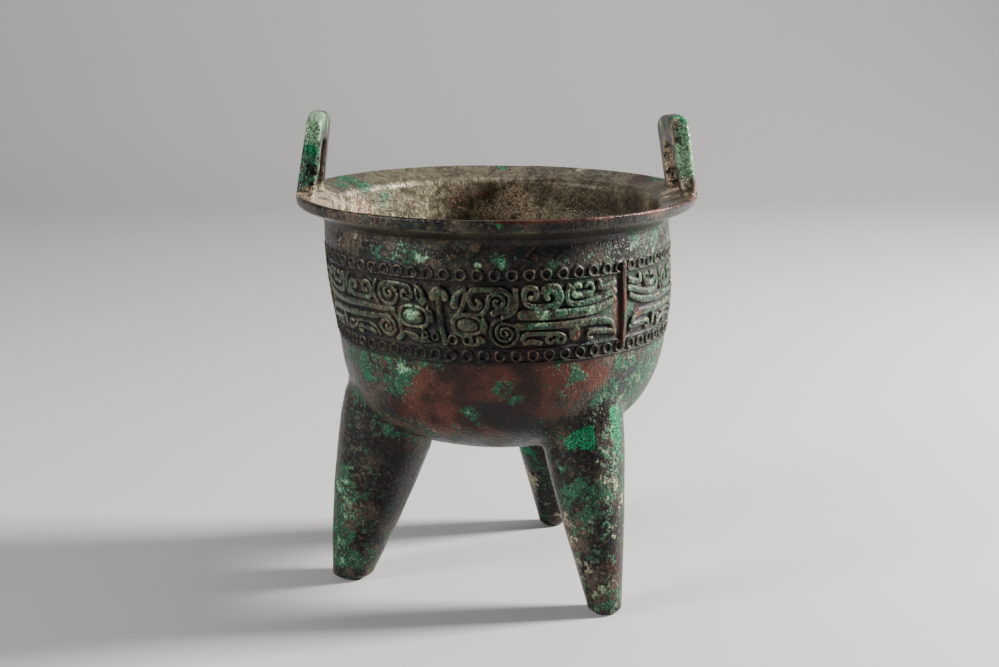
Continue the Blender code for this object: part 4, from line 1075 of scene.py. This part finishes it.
def soften(body, seeds, reach, rounds):
    """Round off a joint: relax the vertices near it, less and less with distance."""
    tree = KDTree(len(seeds))
    for k, p in enumerate(seeds):
        tree.insert(p, k)
    tree.balance()
    points = get_points(body.data)
    away = np.array([tree.find(Vector(p))[2] for p in points])
    t = np.clip(1 - away / reach, 0, 1)
    weight = (t * t * (3 - 2 * t))[:, None]
    for _ in range(rounds):
        points += 0.5 * weight * (neighbour_mean(body.data, points) - points)
    set_points(body.data, points)


def lattice(cells, seed):
    """A repeatable number from 0 to 1 for each whole-number cell."""
    c = cells.astype(np.int64)
    h = (c[:, 0] * 73856093) ^ (c[:, 1] * 19349663) ^ (c[:, 2] * 83492791) ^ (seed * 2654435761)
    h = (h ^ (h >> 13)) * 1274126177 & 0x7FFFFFFF
    return ((h ^ (h >> 16)) & 0xFFFFFF) / 0xFFFFFF


def rough(points, size, seed):
    """Smooth noise from -1 to 1 with lumps of about the given size."""
    p = points / size
    cell = np.floor(p)
    f = p - cell
    f = f * f * (3 - 2 * f)
    out = np.zeros(len(p))
    for dx in (0, 1):
        for dy in (0, 1):
            for dz in (0, 1):
                corner = np.array([dx, dy, dz])
                share = np.prod(np.where(corner, f, 1 - f), axis=1)
                out += share * lattice(cell + corner, seed)
    return out * 2 - 1


def wear(body):
    """The unevenness of the casting and its crust, as small moves along the surface's normal."""
    points, normals = get_points(body.data), get_points(body.data, "normal")
    move = sum(height * rough(points, size, seed) for height, size, seed in UNEVEN)
    height, size, seed = FRIEZE_GRIT
    move += np.where(on_frieze(points), height * rough(points, size, seed), 0)
    points += normals * (move * MM)[:, None]
    # the left handle's foot spreads over the rim
    foot = np.clip(1 - (points[:, 2] - RIM_HEIGHT) / FOOT_HEIGHT, 0, 1)
    foot *= points[:, 0] < FOOT_INNER
    foot *= (points[:, 2] > RIM_HEIGHT - 0.0002) * np.clip(-normals[:, 0], 0, 1)
    points[:, 0] -= FOOT_SPREAD * foot
    set_points(body.data, points)


def on_frieze(points):
    """Which points lie on the outside of the frieze's band."""
    radius, height = np.hypot(points[:, 0], points[:, 1]), points[:, 2]
    return (height > BAND[0]) & (height < BAND[1]) & (radius > outer_radius(height) - 0.001)


def frieze_values(points, frieze):
    """The frieze's raised parts, and painted shade with some soiling in the grooves beside them."""
    u = drawing_u(np.arctan2(points[:, 0], -points[:, 1]))
    band = on_frieze(points)
    return {name: np.where(band, frieze.at(layer, u, points[:, 2] / MM), 0.0)
            for layer, name in ((1, "tops"), (2, "dirt_and_shade"))}


def dusty_inside(points):
    """How dusty the inside is, and the top of the rim less so."""
    radius, height = np.hypot(points[:, 0], points[:, 1]), points[:, 2]
    inner = radius < np.minimum(outer_radius(height) - 0.0016, MOUTH_RADIUS + 0.004)
    inner &= height > BOWL_BOTTOM + 0.002
    on_rim = (radius > MOUTH_RADIUS - 0.006) & (height > RIM_HEIGHT - MOUTH_DROP - 0.004)
    on_rim &= (radius < RIM_RADIUS - 0.001) & (height < RIM_HEIGHT + 0.0005)
    return np.where(inner, 1.0, np.where(on_rim, RIM_DUST, 0.0))


def red_lip(points):
    """The worn front edge of the rim towards the right, where the metal is red."""
    radius = np.hypot(points[:, 0], points[:, 1])
    lip = (radius > RIM_RADIUS - 0.0011) & (points[:, 2] > RIM_HEIGHT - 0.0018)
    return RED_LIP * (lip & (points[:, 0] > 0.0) & (points[:, 1] < -0.015))


# painted shade on the neck under the rim's overhang
def shade_under_rim(points, normals, radius):
    under = np.clip(1 - np.abs(points[:, 2] - UNDER_RIM_HEIGHT) / UNDER_RIM_REACH, 0, 1)
    under *= (radius > UNDER_RIM_RADII[0]) & (radius < UNDER_RIM_RADII[1]) & (normals[:, 2] < 0.25)
    return UNDER_RIM_SHADE * under


def whole_vessel(box):
    body = plain_body()
    joints = creases(body)
    for kind, (reach, rounds) in JOINTS.items():
        soften(body, joints[kind], reach, rounds)
    frieze = Frieze()
    body, span = add_band(body, frieze)
    thin_out(body, span)
    mesh = body.data
    points = get_points(mesh)
    radius = np.hypot(points[:, 0], points[:, 1])
    values = frieze_values(points, frieze)
    values["inside"] = dusty_inside(points)
    lip = red_lip(points)
    wear(body)
    set_points(mesh, np.clip(out_of_true(get_points(mesh)), *np.array(box)))
    points, normals = get_points(mesh), get_points(mesh, "normal")
    a, b = ends = edge_ends(mesh)
    length = np.linalg.norm(points[a] - points[b], axis=1)
    spacing = mean_at_ends(ends, length, length)
    bend = ((points - neighbour_mean(mesh, points)) * normals).sum(axis=1) / spacing
    bend = (bend + neighbour_mean(mesh, bend)) / 2
    # convex bends lighter: worn metal, partly a painted highlight
    values["edge"] = np.clip(bend * BEND_GAIN - EDGE_START, 0, 1)
    # concave bends darker: painted shade, with some grime, in creases and at the joints
    shade_in_corners = np.clip(-bend * BEND_GAIN - CORNER_START, 0, 1)
    # painted shade under the rim and in creases, laid over that in the frieze's grooves
    for grime_and_shade in (shade_under_rim(points, normals, radius), shade_in_corners):
        values["dirt_and_shade"] = np.maximum(values["dirt_and_shade"], grime_and_shade)
    values.update(patina_and_painted_light_patches(points, normals, spacing))
    values["red"] = np.maximum(values["red"], lip)
    for name, numbers in values.items():
        layer = mesh.attributes.new(name, "FLOAT", "POINT")
        layer.data.foreach_set("value", numbers.astype(np.float32))
    mesh.shade_smooth()
    return body


def hidden_points(points, normals):
    """Points on the outside, the legs and the rim that the photograph doesn't show."""
    radius, height = np.hypot(points[:, 0], points[:, 1]), points[:, 2]
    away = (points[:, 1] > HIDDEN_BEHIND) | (normals[:, 1] > HIDDEN_TURN)
    away &= (height < 0.070) | (radius > outer_radius(height) - 0.0015)
    away &= (height < 0.158) | (radius > RIM_RADIUS - 0.0025)
    return np.flatnonzero(away)


def patina_and_painted_light_patches(points, normals, spacing):
    """How strongly each kind of patch covers each vertex, from 0 to 1: patina, with painted shade
    among the dark patches and a painted highlight in the earth on the left of the rim.
    """
    moved = points.copy()
    for size, seeds, reach in RAGGED:
        moved += np.stack([rough(points, size, seed) for seed in seeds], axis=1) * reach
    dice = np.random.default_rng(PATCH_SEED)
    hidden = hidden_points(points, normals)
    chance = spacing[hidden] ** 2
    chance /= chance.sum()
    values = {}
    for kind, groups in PATCHES.items():
        spots = [(np.array(row[:3]) * MM, row[3] * MM, strength)
                 for strength, rows in groups.items() for row in rows]
        count, small, large = HIDDEN_PATCHES[kind]
        for _ in range(count):
            where = points[dice.choice(hidden, p=chance)]
            spots.append((where, dice.uniform(small, large) * MM, dice.uniform(0.5, 1)))
        values[kind] = np.zeros(len(points))
        for centre, reach, strength in spots:
            share = 1.25 - 0.75 * np.linalg.norm(moved - centre, axis=1) / reach
            values[kind] = np.maximum(values[kind], strength * np.clip(share, 0, 1))
    tone = 0.5 + sum(share * rough(points, size, seed) for share, size, seed in TONE_LUMPS)
    share, size, seed = CLOUD_LUMPS
    values["tone"], values["cloud"] = tone, 0.5 + share * rough(points, size, seed)
    low = np.clip((LEG_HAZE_TOP - points[:, 2]) / HAZE_FADE, 0, 1)
    side = np.clip((points[:, 0] - SIDE_START) / HAZE_FADE, 0, 1)
    side *= np.clip(-points[:, 1] / 0.01, 0, 1) * (points[:, 2] < SIDE_TOP)
    side *= 1 - 0.9 * np.clip(values["red"], 0, 1)
    for kind, cover in (("green", LEG_HAZE * low * np.clip(0.4 + 1.1 * tone, 0, 1)),
                        ("green", SIDE_HAZE * side * np.clip(0.5 + 0.9 * tone, 0, 1)),
                        ("earth", SIDE_CRUST * side * np.clip(1.5 - tone, 0, 1))):
        values[kind] = np.maximum(values[kind], cover)
    return values


# materials

def linear(red, green, blue):
    """A colour given in the usual 0 to 255 screen numbers, as light."""
    return tuple((c / 255 / 12.92 if c <= 10 else ((c / 255 + 0.055) / 1.055) ** 2.4)
                 for c in (red, green, blue)) + (1.0,)


class Graph:
    """A material's nodes, with a short call for each kind that is used here."""

    def __init__(self, name):
        self.mat = bpy.data.materials.new(name)
        self.mat.use_nodes = True
        self.shader = self.mat.node_tree.nodes["Principled BSDF"]
        self.values = {}

    def feed(self, socket, value):
        if isinstance(value, bpy.types.NodeSocket):
            self.mat.node_tree.links.new(value, socket)
        else:
            socket.default_value = value

    def node(self, kind, inputs, output, **settings):
        """One output of a new node, whose inputs are given by name or number."""
        node = self.mat.node_tree.nodes.new("ShaderNode" + kind)
        for name, value in settings.items():
            setattr(node, name, value)
        for name, value in inputs.items():
            self.feed(node.inputs[name], value)
        return node.outputs[output]

    def attribute(self, name):
        return self.node("Attribute", {}, "Fac", attribute_name=name)

    def noise(self, scale, detail, roughness, start):
        place = self.node("TexCoord", {}, "Object")
        place = self.node("Mapping", {"Vector": place, "Location": start}, "Vector")
        return self.node("TexNoise", {"Vector": place, "Scale": scale, "Detail": detail,
                                      "Roughness": roughness}, "Fac")

    def math(self, kind, *numbers):
        return self.node("Math", dict(enumerate(numbers)), 0, operation=kind)

    def step(self, value, low, high, out_low=0.0, out_high=1.0):
        """One number below low, another above high and a soft change between them."""
        return self.node("MapRange", {"Value": value, "From Min": low, "From Max": high,
                                      "To Min": out_low, "To Max": out_high},
                         "Result", interpolation_type="SMOOTHSTEP")

    def mix(self, share, a, b):
        return self.node("Mix", {0: share, 6: a, 7: b}, 2, data_type="RGBA")

    def blend(self, share, a, b):
        """Mix two numbers."""
        return self.node("Mix", {0: share, 2: a, 3: b}, 0)

    def shade(self, name):
        """A colour of the table, with the others that are laid over it."""
        first, *others = SHADES[name]
        colour = linear(*first)
        for value, low, high, out_low, out_high, tint in others:
            share = self.step(self.values[value], low, high, out_low, out_high)
            colour = self.mix(share, colour, linear(*tint))
        return colour

    def patch(self, name, low, high, ragged):
        """Where a kind of patch shows: its placed patches with a ragged, speckled edge; mostly
        patina, and in places painted shade and a painted highlight.
        """
        spread = self.math("MULTIPLY_ADD", self.values["grain"], ragged, -ragged / 2)
        return self.step(self.math("ADD", self.attribute(name), spread), low, high)


def surface_values(g):
    """Noises that the whole material shares, and two slow changes of tone."""
    v = g.values
    v.update({name: g.noise(*row) for name, row in NOISES.items()})
    v["grain"] = g.math("MULTIPLY_ADD", v["other"], 0.55, g.math("MULTIPLY", v["small"], 0.45))
    uneven = g.math("MULTIPLY_ADD", v["grain"], 1.6, -0.8)
    for name in ("cloud", "tone"):
        v[name] = g.math("ADD", g.attribute(name), uneven)
    return v


def bronze_material():
    """Dark bronze under layers of green, red and earthy patina, with painted shade in the frieze's
    grooves, in creases, under the rim and in some dark patches, and a painted highlight on worn
    convex edges and on the left of the rim.
    """
    g = Graph("bronze_patina")
    v = surface_values(g)

    def laid(colour, name, share):
        return g.mix(share, colour, g.shade(name))

    def times(name, *numbers):
        return g.math("MULTIPLY", g.attribute(name), g.step(*numbers))

    colour = laid(g.shade("bronze"), "dust", times("inside", v["small"], 0.35, 0.55, 0.60, 0.90))
    # the raised parts of the frieze are greener and worn lighter
    colour = laid(colour, "tops", times("tops", v["other"], 0.38, 0.58, 0.15, 0.75))
    patches = {}
    for name, (low, high, ragged, most) in LAYERS.items():
        patches[name] = g.patch(name, low, high, ragged)
        colour = laid(colour, name, g.math("MULTIPLY", patches[name], most))
    # grains that stand on the surface
    grains = g.step(v["spots"], 0.66, 0.74)
    grains = g.math("MULTIPLY", grains, g.step(v["tone"], 0.3, 0.8, 0.0, 0.7))
    colour = laid(colour, "grains", grains)
    # painted shade, with some grime, in the frieze's grooves, in creases and under the rim
    grime_and_shade = times("dirt_and_shade", v["small"], 0.25, 0.55, 0.70, 1.0)
    colour = laid(colour, "grime_and_shade", grime_and_shade)
    # convex edges lighter: worn metal, partly a painted highlight
    colour = laid(colour, "edge", times("edge", v["other"], 0.40, 0.62, 0.10, 0.60))

    crust = g.math("MAXIMUM", patches["green"], patches["earth"])
    gloss = g.blend(crust, g.step(v["tone"], 0.0, 1.0, 0.25, 0.43), 0.55)
    height = g.math("MULTIPLY_ADD", patches["green"], 0.30, v["small"])
    height = g.math("MULTIPLY_ADD", v["spots"], 0.35, height)
    bump = g.node("Bump", {"Strength": 0.85, "Distance": 0.0005, "Height": height}, "Normal")
    for name, value in (("Base Color", colour), ("Normal", bump), ("Metallic", 0.20),
                        ("Roughness", g.math("MULTIPLY_ADD", grime_and_shade, 0.2, gloss)),
                        ("Specular IOR Level", 0.45), ("IOR", 1.30)):
        g.feed(g.shader.inputs[name], value)
    return g.mat


# stage

def floor_material():
    g = Graph("studio_floor")
    grain = g.node("TexNoise", {"Scale": 6.0}, "Fac")
    g.feed(g.shader.inputs["Base Color"], g.mix(grain, *FLOOR_TONES))
    g.shader.inputs["Roughness"].default_value = 0.55
    return g.mat


def build_stage():
    """A floor that bends up into a backdrop."""
    run = [(FLOOR_FRONT, 0.0), (FLOOR_BACK, 0.0)]
    for k in range(1, 9):
        a = math.pi / 2 * k / 8
        run.append((FLOOR_BACK + FLOOR_BEND * math.sin(a), FLOOR_BEND * (1 - math.cos(a))))
    run.append((FLOOR_BACK + FLOOR_BEND, FLOOR_TOP))
    verts = [(x, y, z) for y, z in run for x in (-FLOOR_HALF_WIDTH, FLOOR_HALF_WIDTH)]
    faces = [(k, k + 1, k + 3, k + 2) for k in range(0, len(verts) - 2, 2)]
    floor = mesh_object("studio_floor", verts, faces)
    floor.data.materials.append(floor_material())
    floor.data.shade_smooth()


def light_scene():
    world = bpy.data.worlds.new("studio")
    world.use_nodes = True
    sky = world.node_tree.nodes["Background"].inputs
    sky["Color"].default_value = SKY_COLOUR
    sky["Strength"].default_value = SKY_STRENGTH
    bpy.context.scene.world = world
    for name, (place, size, power, colour) in LAMPS.items():
        lamp = bpy.data.lights.new(name, "AREA")
        lamp.size = size
        lamp.energy = power
        lamp.color = colour
        thing = bpy.data.objects.new(name, lamp)
        thing.location = place
        aim = Vector(LAMP_TARGET) - Vector(place)
        thing.rotation_euler = aim.to_track_quat("-Z", "Y").to_euler()
        bpy.context.scene.collection.objects.link(thing)


def place_camera():
    cam = bpy.data.cameras.new("camera")
    cam.sensor_width = 36
    cam.lens = CAMERA_LENS
    cam.clip_start = 0.01
    thing = bpy.data.objects.new("camera", cam)
    thing.matrix_world = (Matrix.Translation(CAMERA_PLACE)
                          @ Matrix.Rotation(math.pi / 2 - CAMERA_PITCH, 4, "X")
                          @ Matrix.Rotation(CAMERA_ROLL, 4, "Z"))
    bpy.context.scene.collection.objects.link(thing)
    bpy.context.scene.camera = thing


for thing in list(bpy.data.objects):
    bpy.data.objects.remove(thing, do_unlink=True)
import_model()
cad_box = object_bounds()
vessel = whole_vessel(cad_box)
vessel.data.materials.append(bronze_material())
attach(vessel, "root")
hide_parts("vessel")
build_stage()
light_scene()
place_camera()
